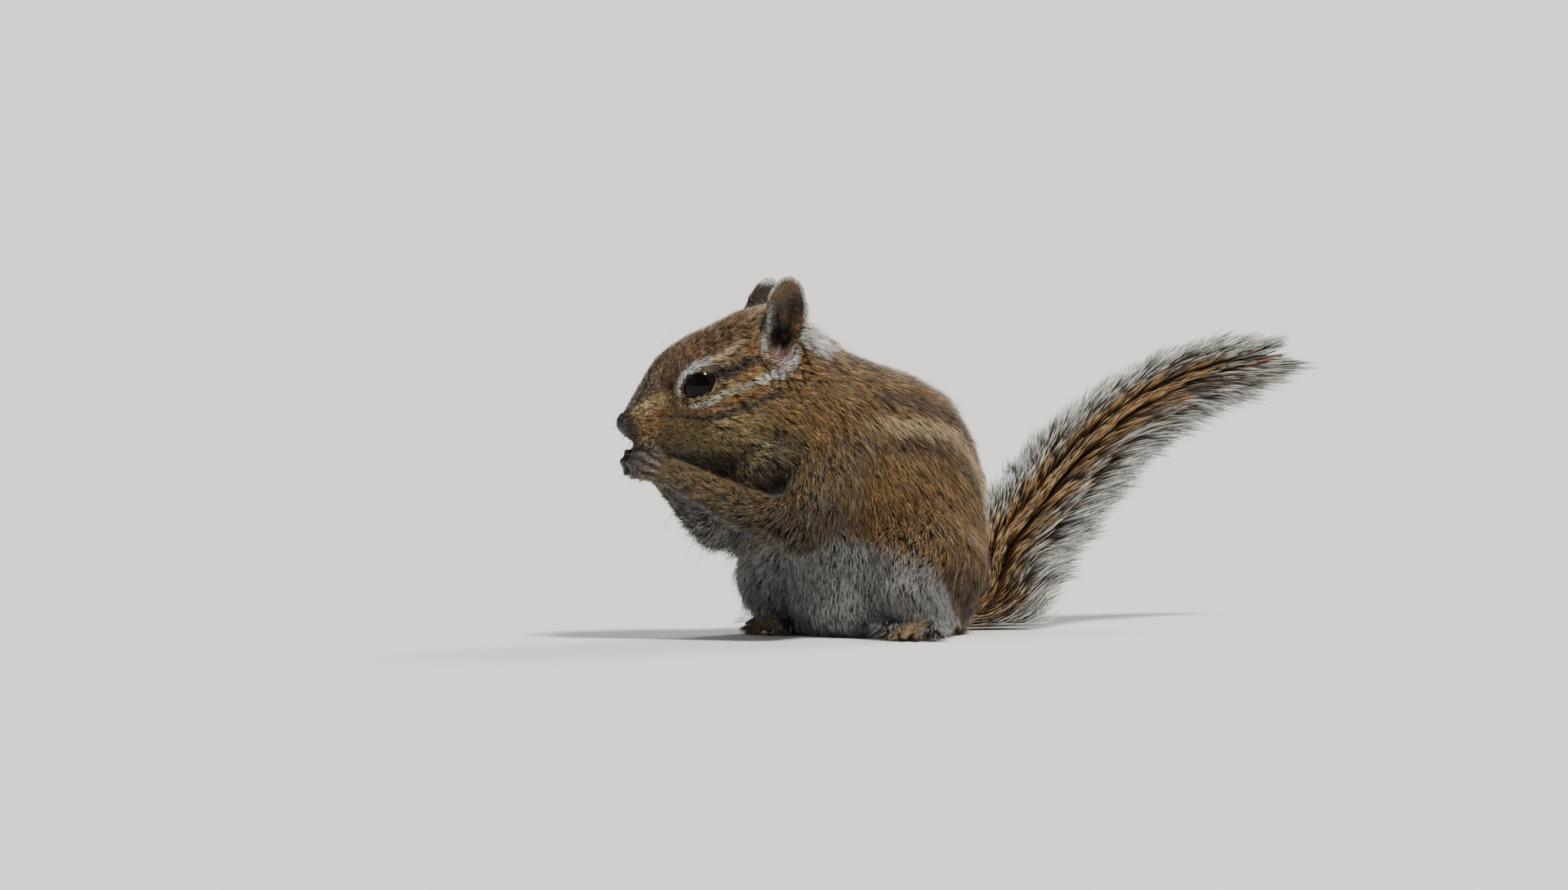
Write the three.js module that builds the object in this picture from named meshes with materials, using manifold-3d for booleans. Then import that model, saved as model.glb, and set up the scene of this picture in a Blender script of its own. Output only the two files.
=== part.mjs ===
// A western chipmunk sitting up on its haunches with both forepaws at its mouth, at life size.
// Millimetres, +Z up. The viewer stands on the -Y side, looks along +Y and has +X on the right, so the
// head points to -X. The origin lies on the floor, inside the flat under the rump. Solids reach out to
// the tips of the coat: short fur is part of each body piece, and the long hair of the tail is locks.
import * as THREE from "three";
import { mergeVertices } from "three/addons/utils/BufferGeometryUtils.js";
import Module from "manifold-3d";

const wasm = await Module();
wasm.setup();

// Driving dimensions.
const GAP = 0.3; // air between touching pieces
const EYE_RADIUS = 4.6;
const LID_THICKNESS = 0.6;
const EAR_HEIGHT = 18.4;
const EAR_WIDTH = 8.5;
const EAR_WALL = 0.95;
const TAIL_CORE = { halfWidth: 5, halfDepth: 3.4 }; // at its root, down to a third of it at its tip
const TAIL_HAIR = 14; // longest lock of the tail

// Attitude of the three stiff parts of the body, in degrees. Yaw turns the face from -X towards the viewer.
const PELVIS_YAW = 50;
const CHEST_YAW = 32;
const HEAD_YAW = 12;
const HEAD_PITCH = -12;

const v3 = (x, y, z) => new THREE.Vector3(x, y, z);

// Forward, left and up of a body part that faces yaw and is pitched up by pitch.
function axesOf(yaw, pitch) {
  const [y, p] = [yaw, pitch].map(THREE.MathUtils.degToRad);
  const forward = v3(-Math.cos(y) * Math.cos(p), -Math.sin(y) * Math.cos(p), Math.sin(p));
  const left = v3(Math.sin(y), -Math.cos(y), 0);
  return { forward, left, up: v3().crossVectors(forward, left) };
}

// A place given as distances ahead, to the left and up from a body part's own origin.
function placer(origin, axes) {
  return (ahead, left, up) =>
    origin
      .clone()
      .addScaledVector(axes.forward, ahead)
      .addScaledVector(axes.left, left)
      .addScaledVector(axes.up, up);
}

const pelvisAxes = axesOf(PELVIS_YAW, 0);
const chestAxes = axesOf(CHEST_YAW, 0);
const headAxes = axesOf(HEAD_YAW, HEAD_PITCH);
const NOSE_TIP = v3(-53.3, -21, 42.9);
const inPelvis = placer(v3(0, 2, 0), pelvisAxes);
const inChest = placer(v3(-15, -10, 0), chestAxes);
// In the head, places are given by the distance behind the tip of the nose.
const fromNose = placer(NOSE_TIP, headAxes);
const inHead = (behind, left, up) => fromNose(-behind, left, up);

// A smooth curve through rows of up to three numbers, read at t from 0 to 1.
function through(rows) {
  const curve = new THREE.CatmullRomCurve3(rows.map(([a, b = 0, c = 0]) => v3(a, b, c)));
  return (t) => curve.getPoint(t).toArray();
}

// Closed body from a first pole, rings of equal count and a last pole.
function skinOf(first, rings, last) {
  const sides = rings[0].length;
  const points = [first, ...rings.flat(), last];
  const end = points.length - 1;
  const at = (ring, i) => 1 + ring * sides + (i % sides);
  const faces = [];
  for (let i = 0; i < sides; i++) {
    faces.push(0, at(0, i + 1), at(0, i));
    faces.push(end, at(rings.length - 1, i), at(rings.length - 1, i + 1));
    for (let r = 0; r + 1 < rings.length; r++) {
      faces.push(at(r, i), at(r, i + 1), at(r + 1, i + 1));
      faces.push(at(r, i), at(r + 1, i + 1), at(r + 1, i));
    }
  }
  const geometry = new THREE.BufferGeometry().setFromPoints(points);
  return geometry.setIndex(faces);
}

function solidOf(geometry) {
  const flat = geometry.index ? geometry.toNonIndexed() : geometry;
  const bare = new THREE.BufferGeometry().setAttribute("position", flat.getAttribute("position"));
  const merged = mergeVertices(bare, 1e-4);
  const made = new wasm.Manifold(
    new wasm.Mesh({
      numProp: 3,
      vertProperties: merged.getAttribute("position").array,
      triVerts: new Uint32Array(merged.index.array),
    }),
  );
  if (made.volume() < 0) throw new Error("a solid is inside out");
  return made;
}

// One closed body: the largest that a cut or a join leaves, with anything sealed inside it filled.
function largest(solid) {
  const shells = solid.decompose();
  return shells.reduce((best, s) => (s.volume() > best.volume() ? s : best));
}

const joined = (solids) => solids.reduce((sum, s) => sum.add(s));
const cutBy = (solid, cutters) => cutters.reduce((rest, c) => rest.subtract(c), solid);

// Ring of an oval section: side to the left and right, up above and down below its centre.
function ovalRing(centre, axes, { side, up, down, full = 2 }, sides) {
  const ring = [];
  const power = 2 / full;
  for (let i = 0; i < sides; i++) {
    const angle = (2 * Math.PI * i) / sides;
    const c = Math.cos(angle);
    const s = Math.sin(angle);
    const across = side * Math.sign(c) * Math.abs(c) ** power;
    const tall = (s > 0 ? up : down) * Math.sign(s) * Math.abs(s) ** power;
    ring.push(centre.clone().addScaledVector(axes.left, across).addScaledVector(axes.up, tall));
  }
  return ring;
}

// Tapered limb with round ends. Stations are [point, half width, half depth]; the width lies along
// the direction wide, square to the limb, and grow thickens the whole limb.
function limb(stations, wide, { rings = 8, sides = 14, grow = 0, caps = 2 } = {}) {
  const path = new THREE.CatmullRomCurve3(stations.map(([p]) => p));
  const size = through(stations.map(([, w, d = w]) => [w + grow, d + grow]));
  const ringAt = (t, share, slide) => {
    const ahead = path.getTangent(t);
    const depthwise = v3().crossVectors(ahead, wide).normalize();
    const across = v3().crossVectors(depthwise, ahead).normalize();
    const [w, d] = size(t);
    const centre = path.getPoint(t).addScaledVector(ahead, slide * Math.min(w, d));
    const axes = { left: across, up: depthwise };
    return share
      ? ovalRing(centre, axes, { side: w * share, up: d * share, down: d * share }, sides)
      : centre;
  };
  const cap = Array.from({ length: caps }, (_, i) => (0.5 * Math.PI * (i + 1)) / (caps + 1));
  const list = [
    ...cap.map((k) => ringAt(0, Math.sin(k), -Math.cos(k))),
    ...Array.from({ length: rings + 1 }, (_, i) => ringAt(i / rings, 1, 0)),
    ...cap.toReversed().map((k) => ringAt(1, Math.sin(k), Math.cos(k))),
  ];
  return solidOf(skinOf(ringAt(0, 0, -1), list, ringAt(1, 0, 1)));
}

// Egg: an oval body with half sizes along the axes ahead, left and up of a frame.
function egg(centre, axes, [ahead, left, up], { around = 20, rows = 14 } = {}) {
  const basis = new THREE.Matrix4().makeBasis(
    axes.forward.clone().multiplyScalar(ahead),
    axes.left.clone().multiplyScalar(left),
    axes.up.clone().multiplyScalar(up),
  );
  const ball = new THREE.SphereGeometry(1, around, rows);
  return solidOf(ball.applyMatrix4(basis.setPosition(centre)));
}

// Everything on the far side of a plane and the last bit of the near side, as a big block. What it
// cuts ends that bit short of the plane.
function beyond(point, direction, gap = GAP / 2) {
  const size = 300;
  const block = new THREE.BoxGeometry(size, size, size).translate(0, 0, size / 2 - gap);
  const turn = new THREE.Quaternion().setFromUnitVectors(v3(0, 0, 1), direction.clone().normalize());
  return solidOf(block.applyQuaternion(turn).translate(point.x, point.y, point.z));
}
const belowFloor = beyond(v3(0, 0, 0), v3(0, 0, -1), 0);

// Trunk and head are one smooth body, swept from the rump up the hunched back, over the neck and
// down to the nose, then parted. Each station: centre, yaw, pitch, and the reach of the coat up
// (to the back or crown), down (to the belly or chin) and to each side.
const TRUNK = [
  { at: v3(2, 4, -7), yaw: 50, pitch: 84, up: 5, down: 5, side: 5 },
  { at: v3(2, 4, -3.5), yaw: 50, pitch: 84, up: 13, down: 13, side: 12 },
  { at: v3(1.5, 3.5, 3), yaw: 50, pitch: 82, up: 19, down: 19, side: 16.5 },
  { at: v3(1, 3, 12.5), yaw: 50, pitch: 76, up: 22.5, down: 22, side: 19.5 },
  { at: v3(0, 2, 24), yaw: 47, pitch: 64, up: 24.5, down: 22, side: 20 },
  { at: v3(-3.5, -1.5, 34.5), yaw: 42, pitch: 50, up: 23.3, down: 21, side: 18.5 },
  { at: v3(-11, -7, 40.5), yaw: 34, pitch: 34, up: 18.4, down: 18, side: 16.5 },
  { at: v3(-18.5, -12, 45), yaw: 24, pitch: 16, up: 17.4, down: 16.5, side: 14.2 },
  { at: v3(-25, -15, 50), yaw: 17, pitch: 2, up: 17.2, down: 17, side: 13.6 },
];
// The head's own profile: distance behind the nose, then top, bottom and half width about its axis.
const HEAD_PROFILE = [
  { behind: 24, top: 16, bottom: -15.2, half: 12.8 },
  { behind: 19, top: 14.9, bottom: -13.8, half: 11.6 },
  { behind: 14.6, top: 13.5, bottom: -11.8, half: 9.8 },
  { behind: 10.8, top: 11.4, bottom: -9.6, half: 7.9 },
  { behind: 7.4, top: 8, bottom: -7.4, half: 6.1 },
  { behind: 4.6, top: 4.9, bottom: -5.2, half: 4.6 },
  { behind: 2.2, top: 2.7, bottom: -3.2, half: 3.2 },
  { behind: 0.8, top: 1.3, bottom: -1.6, half: 2 },
];
const headStations = HEAD_PROFILE.map(({ behind, top, bottom, half }) => ({
  at: inHead(behind, 0, (top + bottom) / 2),
  yaw: HEAD_YAW,
  pitch: HEAD_PITCH,
  up: (top - bottom) / 2,
  down: (top - bottom) / 2,
  side: half,
}));

// Soft swellings of the head, pushed out from its axis: place in the head, radius and height.
const SWELLINGS = [
  { at: [22, 9, -6], radius: 7, height: 1.6 }, // cheek
  { at: [17, 8.5, 11], radius: 4, height: 0.7 }, // brow
  { at: [11.5, 7, 4.5], radius: 3.6, height: -0.9 }, // hollow before the eye
  { at: [4.6, 3.6, -2.4], radius: 2.6, height: 0.9 }, // whisker pad
];

function swell(point, centre) {
  const outward = point.clone().sub(centre).normalize();
  for (const { at, radius, height } of SWELLINGS)
    for (const side of [1, -1]) {
      const distance = point.distanceTo(inHead(at[0], side * at[1], at[2]));
      point.addScaledVector(outward, height * Math.exp(-((distance / radius) ** 2)));
    }
}

function trunk(grow = 0) {
  const stations = [...TRUNK, ...headStations];
  const centre = through(stations.map(({ at }) => at.toArray()));
  const facing = through(stations.map(({ yaw, pitch }) => [yaw, pitch]));
  const reach = through(stations.map(({ up, down, side }) => [up, down, side]));
  const spans = stations.length - 1;
  const ringsPerSpan = 2;
  const sides = 26;
  const rings = [];
  for (let i = 0; i <= spans * ringsPerSpan; i++) {
    const t = i / (spans * ringsPerSpan);
    const [yaw, pitch] = facing(t);
    const [up, down, side] = reach(t);
    const middle = v3(...centre(t));
    const section = { up: up + grow, down: down + grow, side: side + grow, full: 2.1 };
    const ring = ovalRing(middle, axesOf(yaw, pitch), section, sides);
    if (t * spans > TRUNK.length - 1) ring.forEach((point) => swell(point, middle));
    rings.push(ring);
  }
  const start = stations[0].at.clone().add(v3(0, 0, -1 - grow));
  const tip = inHead(-grow, 0, 0);
  return solidOf(skinOf(start, rings, tip));
}

const wholeTrunk = trunk().subtract(belowFloor);
const trunkClearance = trunk(GAP);

// The head ends behind the ears and the neck ends over the shoulders.
const headCut = { point: inHead(37.5, 0, 0), direction: axesOf(16, 14).forward };
const neckCut = {
  point: v3(-13, -8.5, 42),
  direction: axesOf(30, 24).forward,
};
const aheadOf = ({ point, direction }) => beyond(point, direction);
const behind = ({ point, direction }) => beyond(point, direction.clone().negate());

// Eyes: round, dark and bulging, held by thin lids that leave an almond opening.
const EYE = { behind: 17.3, side: 7.1, up: 4.9 };
const eyeCentre = (side) => inHead(EYE.behind, side * EYE.side, EYE.up);
// The eye looks out to the side, a little ahead and a little up.
function eyeAxes(side) {
  const outward = v3()
    .addScaledVector(headAxes.left, side)
    .addScaledVector(headAxes.forward, 0.28)
    .addScaledVector(headAxes.up, 0.12)
    .normalize();
  const slant = THREE.MathUtils.degToRad(16); // the inner corner lies lower
  const level = v3()
    .addScaledVector(headAxes.forward, -Math.cos(slant))
    .addScaledVector(headAxes.up, Math.sin(slant));
  const up = v3().crossVectors(outward, level).multiplyScalar(side).normalize();
  const back = v3().crossVectors(up, outward).multiplyScalar(side);
  return { forward: outward, left: back.clone().multiplyScalar(side), up, back };
}

// Almond opening as a cone from the eye's centre outward.
function lidOpening(side) {
  const { forward, back, up } = eyeAxes(side);
  const halfLong = 1.4; // of the eye's radius, at one radius out
  const halfTall = 0.9;
  const sides = 14;
  const near = [];
  const far = [];
  for (let i = 0; i < sides; i++) {
    const angle = (2 * Math.PI * i) / sides;
    const along = halfLong * Math.cos(angle);
    const corner = 1 - 0.3 * Math.max(0, -Math.cos(angle)) ** 3; // drawn out at the inner corner
    const tall = halfTall * Math.sin(angle) * corner;
    const ray = v3()
      .addScaledVector(forward, 1)
      .addScaledVector(back, along)
      .addScaledVector(up, tall);
    near.push(eyeCentre(side).addScaledVector(ray, 0.4 * EYE_RADIUS));
    far.push(eyeCentre(side).addScaledVector(ray, 2 * EYE_RADIUS));
  }
  const rings = side > 0 ? [near, far] : [near.reverse(), far.reverse()];
  const inner = eyeCentre(side).addScaledVector(forward, 0.35 * EYE_RADIUS);
  const outer = eyeCentre(side).addScaledVector(forward, 2.2 * EYE_RADIUS);
  return solidOf(skinOf(inner, rings, outer));
}

const eyeball = (side, grow = 0) => {
  const half = EYE_RADIUS + grow;
  return egg(eyeCentre(side), eyeAxes(side), [half, half, half], { around: 14, rows: 9 });
};
const lidMound = (side) => {
  const half = EYE_RADIUS + GAP + LID_THICKNESS;
  return egg(eyeCentre(side), eyeAxes(side), [half, half, half], { around: 16, rows: 9 });
};

// A place on the surface of the head: its distance behind the nose and its angle below the side.
function onMuzzle(back, degreesBelow, side) {
  const after = HEAD_PROFILE.findLastIndex(({ behind }) => behind >= back);
  const [far, near] = [HEAD_PROFILE[after], HEAD_PROFILE[after + 1]];
  const share = (far.behind - back) / (far.behind - near.behind);
  const [top, bottom, half] = ["top", "bottom", "half"].map((key) =>
    THREE.MathUtils.lerp(far[key], near[key], share),
  );
  const angle = THREE.MathUtils.degToRad(degreesBelow);
  const up = (top + bottom) / 2 - ((top - bottom) / 2) * Math.sin(angle);
  return inHead(back, side * half * Math.cos(angle), up);
}

// A tube along the mouth from corner to corner: places of its left half from the back to the front,
// then the same mirrored.
function alongMouth(places, thick, grow = 0) {
  const half = (side) => places.map(([back, below]) => [onMuzzle(back, below, side), thick]);
  const line = [...half(1), ...half(-1).toReversed()];
  return limb(line, headAxes.up, { rings: 10, sides: 5, caps: 1, grow });
}
const LIP_LINE = [
  [10.6, 50],
  [8.2, 55],
  [5.6, 60],
  [3.6, 68],
  [2.2, 84],
];
const LOWER_LIP = [
  [10, 62],
  [7.4, 68],
  [5, 76],
  [3.6, 86],
];
const GROOVE = 0.4; // half width of the line of the mouth
const mouthGroove = alongMouth(LIP_LINE, GROOVE);
const lowerLip = (grow) => alongMouth(LOWER_LIP, 0.8, grow);
const lipCleft = limb(
  [
    [inHead(0.2, 0, -0.9), GROOVE],
    [onMuzzle(2, 90, 1), GROOVE],
  ],
  headAxes.left,
  { rings: 2, sides: 5, caps: 1 },
);
const nostril = (side) => {
  const slot = [1.5, 0.6, 0.8];
  const place = inHead(2.1, side * 2.9, -0.3);
  return egg(place, axesOf(HEAD_YAW + side * 40, HEAD_PITCH), slot, { around: 8, rows: 5 });
};
// The bare pad of the nose stands a little proud of the muzzle.
const nosePad = egg(inHead(2.7, 0, 0.3), headAxes, [2.6, 2.6, 2.45], { around: 12, rows: 7 });

// Ear: a spoon-shaped shell, deepest in its lower third. Each ear has its own middle, lean to the
// back and turn from the side towards the front, because the animal holds them unlike.
const EARS = {
  left: { side: 1, middle: [35.5, 12.1, 14.2], lean: 22, turn: 23 },
  right: { side: -1, middle: [34.6, -10.8, 14], lean: 33, turn: 30 },
};
function earAxes({ side, lean, turn }) {
  const [tilt, swing] = [lean, turn].map(THREE.MathUtils.degToRad);
  const up = v3()
    .addScaledVector(headAxes.forward, -Math.sin(tilt))
    .addScaledVector(headAxes.up, Math.cos(tilt));
  const towards = v3()
    .addScaledVector(headAxes.left, side * Math.cos(swing))
    .addScaledVector(headAxes.forward, Math.sin(swing));
  const back = v3().crossVectors(up, towards).normalize().multiplyScalar(side);
  const out = v3().crossVectors(back, up).normalize().multiplyScalar(side);
  return { up, back, out };
}
// With a gap given, it is the cup with its mouth filled, grown by that gap, for cutting the head.
function ear(pose, gap = 0) {
  const { up, back, out } = earAxes(pose);
  const middle = inHead(...pose.middle);
  const around = 18;
  const hollow = 4.6;
  const at = (share, angle, wall) => {
    const wide = (EAR_WIDTH / 2 + gap) * Math.sin(angle) * (1 + 0.14 * Math.cos(angle));
    const tall = (EAR_HEIGHT / 2 + gap) * Math.cos(angle);
    const lowest = -0.19 * EAR_HEIGHT * (1 - share);
    return middle
      .clone()
      .addScaledVector(back, wide * share)
      .addScaledVector(up, lowest + tall * share)
      .addScaledVector(out, -hollow * (1 - share) ** 1.2 - wall);
  };
  const ringOf = (share, wall) =>
    Array.from({ length: around }, (_, i) => at(share, (2 * Math.PI * i) / around, wall));
  const reach = 6; // the filled mouth stands this far out
  const wall = EAR_WALL + gap;
  const inside = gap ? [ringOf(1, -reach)] : [0.35, 0.65, 0.88, 1].map((share) => ringOf(share, 0));
  const outside = [0.985, 0.88, 0.65, 0.35].map((share) => ringOf(share, wall));
  const rings = [...inside, ...outside];
  const ordered = pose.side > 0 ? rings : rings.map((ring) => ring.toReversed());
  const mouth = gap ? at(0, 0, -reach - hollow) : at(0, 0, 0);
  return solidOf(skinOf(mouth, ordered, at(0, 0, wall)));
}

// Forelimbs: shoulder and elbow hang from the chest, wrist and hand are held at the mouth.
const FORELIMB = {
  shoulder: [-1.5, 10.5, 39],
  elbow: [11.5, 15.5, 22.5],
  wrist: [9, 6.4, -12],
  knuckles: [4.4, 5, -8.8],
};
function forelimbPoints(side) {
  const { shoulder, elbow, wrist, knuckles } = FORELIMB;
  return {
    shoulder: inChest(shoulder[0], side * shoulder[1], shoulder[2]),
    elbow: inChest(elbow[0], side * elbow[1], elbow[2]),
    wrist: inHead(wrist[0], side * wrist[1], wrist[2]),
    knuckles: inHead(knuckles[0], side * knuckles[1], knuckles[2]),
  };
}
function upperArm(side, grow = 0) {
  const { shoulder, elbow } = forelimbPoints(side);
  const middle = shoulder.clone().lerp(elbow, 0.5).addScaledVector(chestAxes.forward, -1.5);
  return limb(
    [
      [shoulder, 8.5, 7],
      [middle, 8, 6.6],
      [elbow, 6.6, 5.6],
    ],
    chestAxes.forward,
    { rings: 4, sides: 14, grow },
  );
}
function forearm(side, grow = 0) {
  const { elbow, wrist } = forelimbPoints(side);
  const back = elbow.clone().lerp(wrist, 0.1);
  const belly = elbow.clone().lerp(wrist, 0.45).add(v3(0, 0, -1));
  return limb(
    [
      [back, 5.6, 5.8],
      [belly, 4.6, 5],
      [wrist, 3.1, 3.3],
    ],
    chestAxes.left,
    { rings: 4, sides: 12, grow },
  );
}

// A finger or toe with its claw. Points run from its root to the root of the claw.
function digit(points, thick, thin, clawLength, clawDirection, wide) {
  const stations = points.map((p, i) => [p, thick + ((thin - thick) * i) / (points.length - 1)]);
  const finger = limb(stations, wide, { rings: 2, sides: 5, caps: 1 });
  const claw = new THREE.ConeGeometry(0.55, clawLength, 4).translate(0, clawLength / 2, 0);
  const turn = new THREE.Quaternion().setFromUnitVectors(v3(0, 1, 0), clawDirection.clone().normalize());
  const tip = points[points.length - 1];
  return finger.add(solidOf(claw.applyQuaternion(turn).translate(tip.x, tip.y, tip.z)));
}

const FINGERS = [
  { spread: 3.1, reach: 3.1 },
  { spread: 1.1, reach: 4.1 },
  { spread: -1, reach: 4.2 },
  { spread: -3, reach: 3.2 },
];
function hand(side, grow = 0) {
  const { wrist, knuckles } = forelimbPoints(side);
  const ahead = knuckles.clone().sub(wrist).normalize();
  const inward = headAxes.left.clone().multiplyScalar(-side);
  const spread = v3().crossVectors(inward, ahead).multiplyScalar(side).normalize();
  const palm = limb(
    [
      [wrist, 2.7, 2.3],
      [wrist.clone().lerp(knuckles, 0.6), 3.5, 2.1],
      [knuckles, 3.7, 1.7],
    ],
    spread,
    { rings: 3, sides: 10, grow },
  );
  if (grow) return palm;
  const fingers = FINGERS.map(({ spread: offset, reach }) => {
    const root = knuckles.clone().addScaledVector(spread, offset * 0.85).addScaledVector(ahead, -1);
    const bend = root.clone().addScaledVector(ahead, reach).addScaledVector(spread, offset * 0.1);
    const tip = bend.clone().addScaledVector(inward, 2.2).addScaledVector(ahead, 0.3);
    const direction = inward.clone().addScaledVector(ahead, -0.5);
    return digit([root, bend, tip], 1.05, 0.85, 1.5, direction, spread);
  });
  const thumbRoot = wrist.clone().lerp(knuckles, 0.45).addScaledVector(spread, 2.4);
  const thumb = digit(
    [thumbRoot, thumbRoot.clone().addScaledVector(ahead, 1.3).addScaledVector(inward, 2)],
    1,
    0.8,
    0.9,
    inward,
    spread,
  );
  return joined([palm, ...fingers, thumb]);
}

// Hind limbs: haunch, folded shin and a long flat foot. The right knee is drawn up further than the
// left one, and its foot points straight ahead where the left one splays.
const HINDLIMBS = {
  left: { side: 1, drawnUp: 0, splay: 19, heel: [-7, 13.8] },
  right: { side: -1, drawnUp: 2.2, splay: 2, heel: [-9.5, -15] },
};
function thigh({ side, drawnUp }, grow = 0) {
  return limb(
    [
      [inPelvis(-6.5, side * 11, 13.5), 9.5, 12],
      [inPelvis(2, side * 14.5, 16.5), 9, 12.5],
      [inPelvis(12 + drawnUp, side * 17, 15.5 + 0.5 * drawnUp), 6.8, 9],
    ],
    pelvisAxes.left,
    { rings: 5, sides: 16, grow },
  );
}
function shin({ side, drawnUp }, grow = 0) {
  return limb(
    [
      [inPelvis(13.5 + drawnUp, side * 18, 12.5), 6, 6],
      [inPelvis(10 + drawnUp, side * 18, 7), 6, 6.4],
      [inPelvis(2, side * 16, 5), 5.4, 5],
    ],
    pelvisAxes.left,
    { rings: 3, sides: 12, grow },
  );
}
const SOLE_LENGTH = 22.3; // heel to ball of the foot
const TOES = [
  { across: -3.4, reach: 4.2, turn: -24 },
  { across: -1.7, reach: 6.6, turn: -9 },
  { across: 0, reach: 7.2, turn: 0 },
  { across: 1.7, reach: 6.8, turn: 9 },
  { across: 3.4, reach: 4.8, turn: 24 },
];
function foot({ side, splay, heel }) {
  const yaw = PELVIS_YAW + side * splay;
  const onSole = placer(inPelvis(...heel, 0), axesOf(yaw, 0));
  const sole = limb(
    [
      [onSole(0, 0, 2.6), 2.8, 2.8],
      [onSole(0.55 * SOLE_LENGTH, 0, 2.9), 3.2, 3],
      [onSole(SOLE_LENGTH, 0, 2.3), 4.2, 2.5],
    ],
    axesOf(yaw, 0).left,
    { rings: 3, sides: 10 },
  );
  const toes = TOES.map(({ across, reach, turn }) => {
    const { forward, left } = axesOf(yaw + side * turn, 0);
    const root = onSole(SOLE_LENGTH - 0.5, side * across, 2);
    const bend = root.clone().addScaledVector(forward, 0.55 * reach).add(v3(0, 0, 0.8));
    const tip = root.clone().addScaledVector(forward, reach).add(v3(0, 0, -0.7));
    const direction = forward.clone().add(v3(0, 0, -0.25));
    return digit([root, bend, tip], 1.35, 1.1, 2.3, direction, left);
  });
  return joined([sole, ...toes]);
}

// Tail: rises from behind the rump and sweeps back and up. The path is the line of its bones.
const TAIL_PATH = [
  v3(9.5, 13.5, 7),
  v3(16.5, 20.5, 5.2),
  v3(22.5, 26.5, 8.5),
  v3(27, 31.5, 17.5),
  v3(34.2, 37.5, 27),
  v3(42.2, 43, 36),
  v3(51.6, 49.5, 43.8),
  v3(61.8, 56.5, 49.6),
  v3(71, 62, 52.7),
  v3(78.5, 66, 54.2),
];
const tailLine = new THREE.CatmullRomCurve3(TAIL_PATH);
const tailTaper = (t) => 1 - 0.66 * t;
const TAIL_PARTINGS = [0.36, 0.68]; // where one length of the tail gives way to the next
const LOWEST_HAIR = 1.7; // locks that would reach the floor are bent to lie just over it

// The hair parts to both sides of the tail, so its brush is wider across than it is deep.
function tailAxes(t) {
  const ahead = tailLine.getTangentAt(t);
  const broadSide = v3(0.35, 1, 0.1);
  const across = v3().crossVectors(broadSide, ahead).normalize();
  return { ahead, across, deep: v3().crossVectors(ahead, across).normalize() };
}

// A place beside the line of the tail, which runs on straight past its tip: how far along (1 at the
// tip), at which angle round it and how far out.
const tailLength = tailLine.getLength();
function besideTail(t, angle, distance) {
  const { ahead, across, deep } = tailAxes(Math.min(t, 1));
  return tailLine
    .getPointAt(Math.min(t, 1))
    .addScaledVector(ahead, Math.max(0, t - 1) * tailLength)
    .addScaledVector(across, distance * Math.cos(angle))
    .addScaledVector(deep, distance * Math.sin(angle));
}

// One flat tapered lock, its broad face in the plane of the brush but for a twist. It leaves the tail
// at the angle lift, bends to lie along it and follows its curve.
function lock(t, angle, { length, halfWidth, lift, twist }) {
  const core = Math.hypot(TAIL_CORE.halfWidth * Math.cos(angle), TAIL_CORE.halfDepth * Math.sin(angle));
  const rootDistance = 0.5 * core * tailTaper(t);
  const spine = (share) => {
    const along = (length * share * Math.cos(lift)) / tailLength;
    const out = length * Math.sin(lift) * (1.4 * share - 0.4 * share ** 2);
    const point = besideTail(t + along, angle, rootDistance + out);
    point.z = Math.max(point.z, LOWEST_HAIR + 0.4 * share);
    return point;
  };
  const { deep } = tailAxes(t);
  const rings = [0, 0.4, 0.75].map((share) => {
    const centre = spine(share);
    const along = spine(share + 0.1).sub(centre).normalize();
    const face = deep.clone().applyAxisAngle(along, twist);
    const wide = v3().crossVectors(face, along).normalize();
    const thick = v3().crossVectors(along, wide);
    const half = halfWidth * (1 - 0.5 * share ** 2);
    return [
      centre.clone().addScaledVector(wide, half),
      centre.clone().addScaledVector(thick, 0.36 * half),
      centre.clone().addScaledVector(wide, -half),
      centre.clone().addScaledVector(thick, -0.36 * half),
    ];
  });
  const start = spine(0).multiplyScalar(2).sub(spine(0.06));
  return solidOf(skinOf(start, rings, spine(1)));
}

// Seeded draws, so that every build gives the same coat.
function seededDraws(seed) {
  let state = seed;
  return () => {
    state = (Math.imul(state, 1664525) + 1013904223) >>> 0;
    return state / 2 ** 32;
  };
}

// Rows of locks from the root of the tail to its tip. Long hair fringes both edges of the brush, and
// shorter hair covers its broad sides.
function tailLocks() {
  const draw = seededDraws(7);
  const between = (low, high) => low + (high - low) * draw();
  const rowCount = 12;
  const places = [0, 38, 142, 180, 218, 322]; // degrees round the tail from one edge
  const locks = [];
  for (let row = 0; row < rowCount; row++)
    for (const place of places) {
      const t = 0.07 + (0.91 * (row + between(0, 0.8))) / rowCount;
      const angle = THREE.MathUtils.degToRad(place + between(-10, 10));
      const fringe = Math.cos(angle) ** 2;
      const length = TAIL_HAIR * (0.7 + 0.3 * fringe) * between(0.92, 1.08);
      const lift = THREE.MathUtils.degToRad((60 - 40 * t) * (0.6 + 0.4 * fringe));
      const twist = between(-0.3, 0.3);
      locks.push(lock(t, angle, { length, halfWidth: 2.9 - 1.1 * t, lift, twist }));
    }
  const tipCount = 5;
  for (let i = 0; i < tipCount; i++) {
    const angle = (2 * Math.PI * (i + between(0, 0.4))) / tipCount;
    const lift = THREE.MathUtils.degToRad(between(6, 14));
    const length = 0.68 * TAIL_HAIR;
    locks.push(lock(0.985, angle, { length, halfWidth: 1.5, lift, twist: between(-1, 1) }));
  }
  return joined(locks);
}

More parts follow.
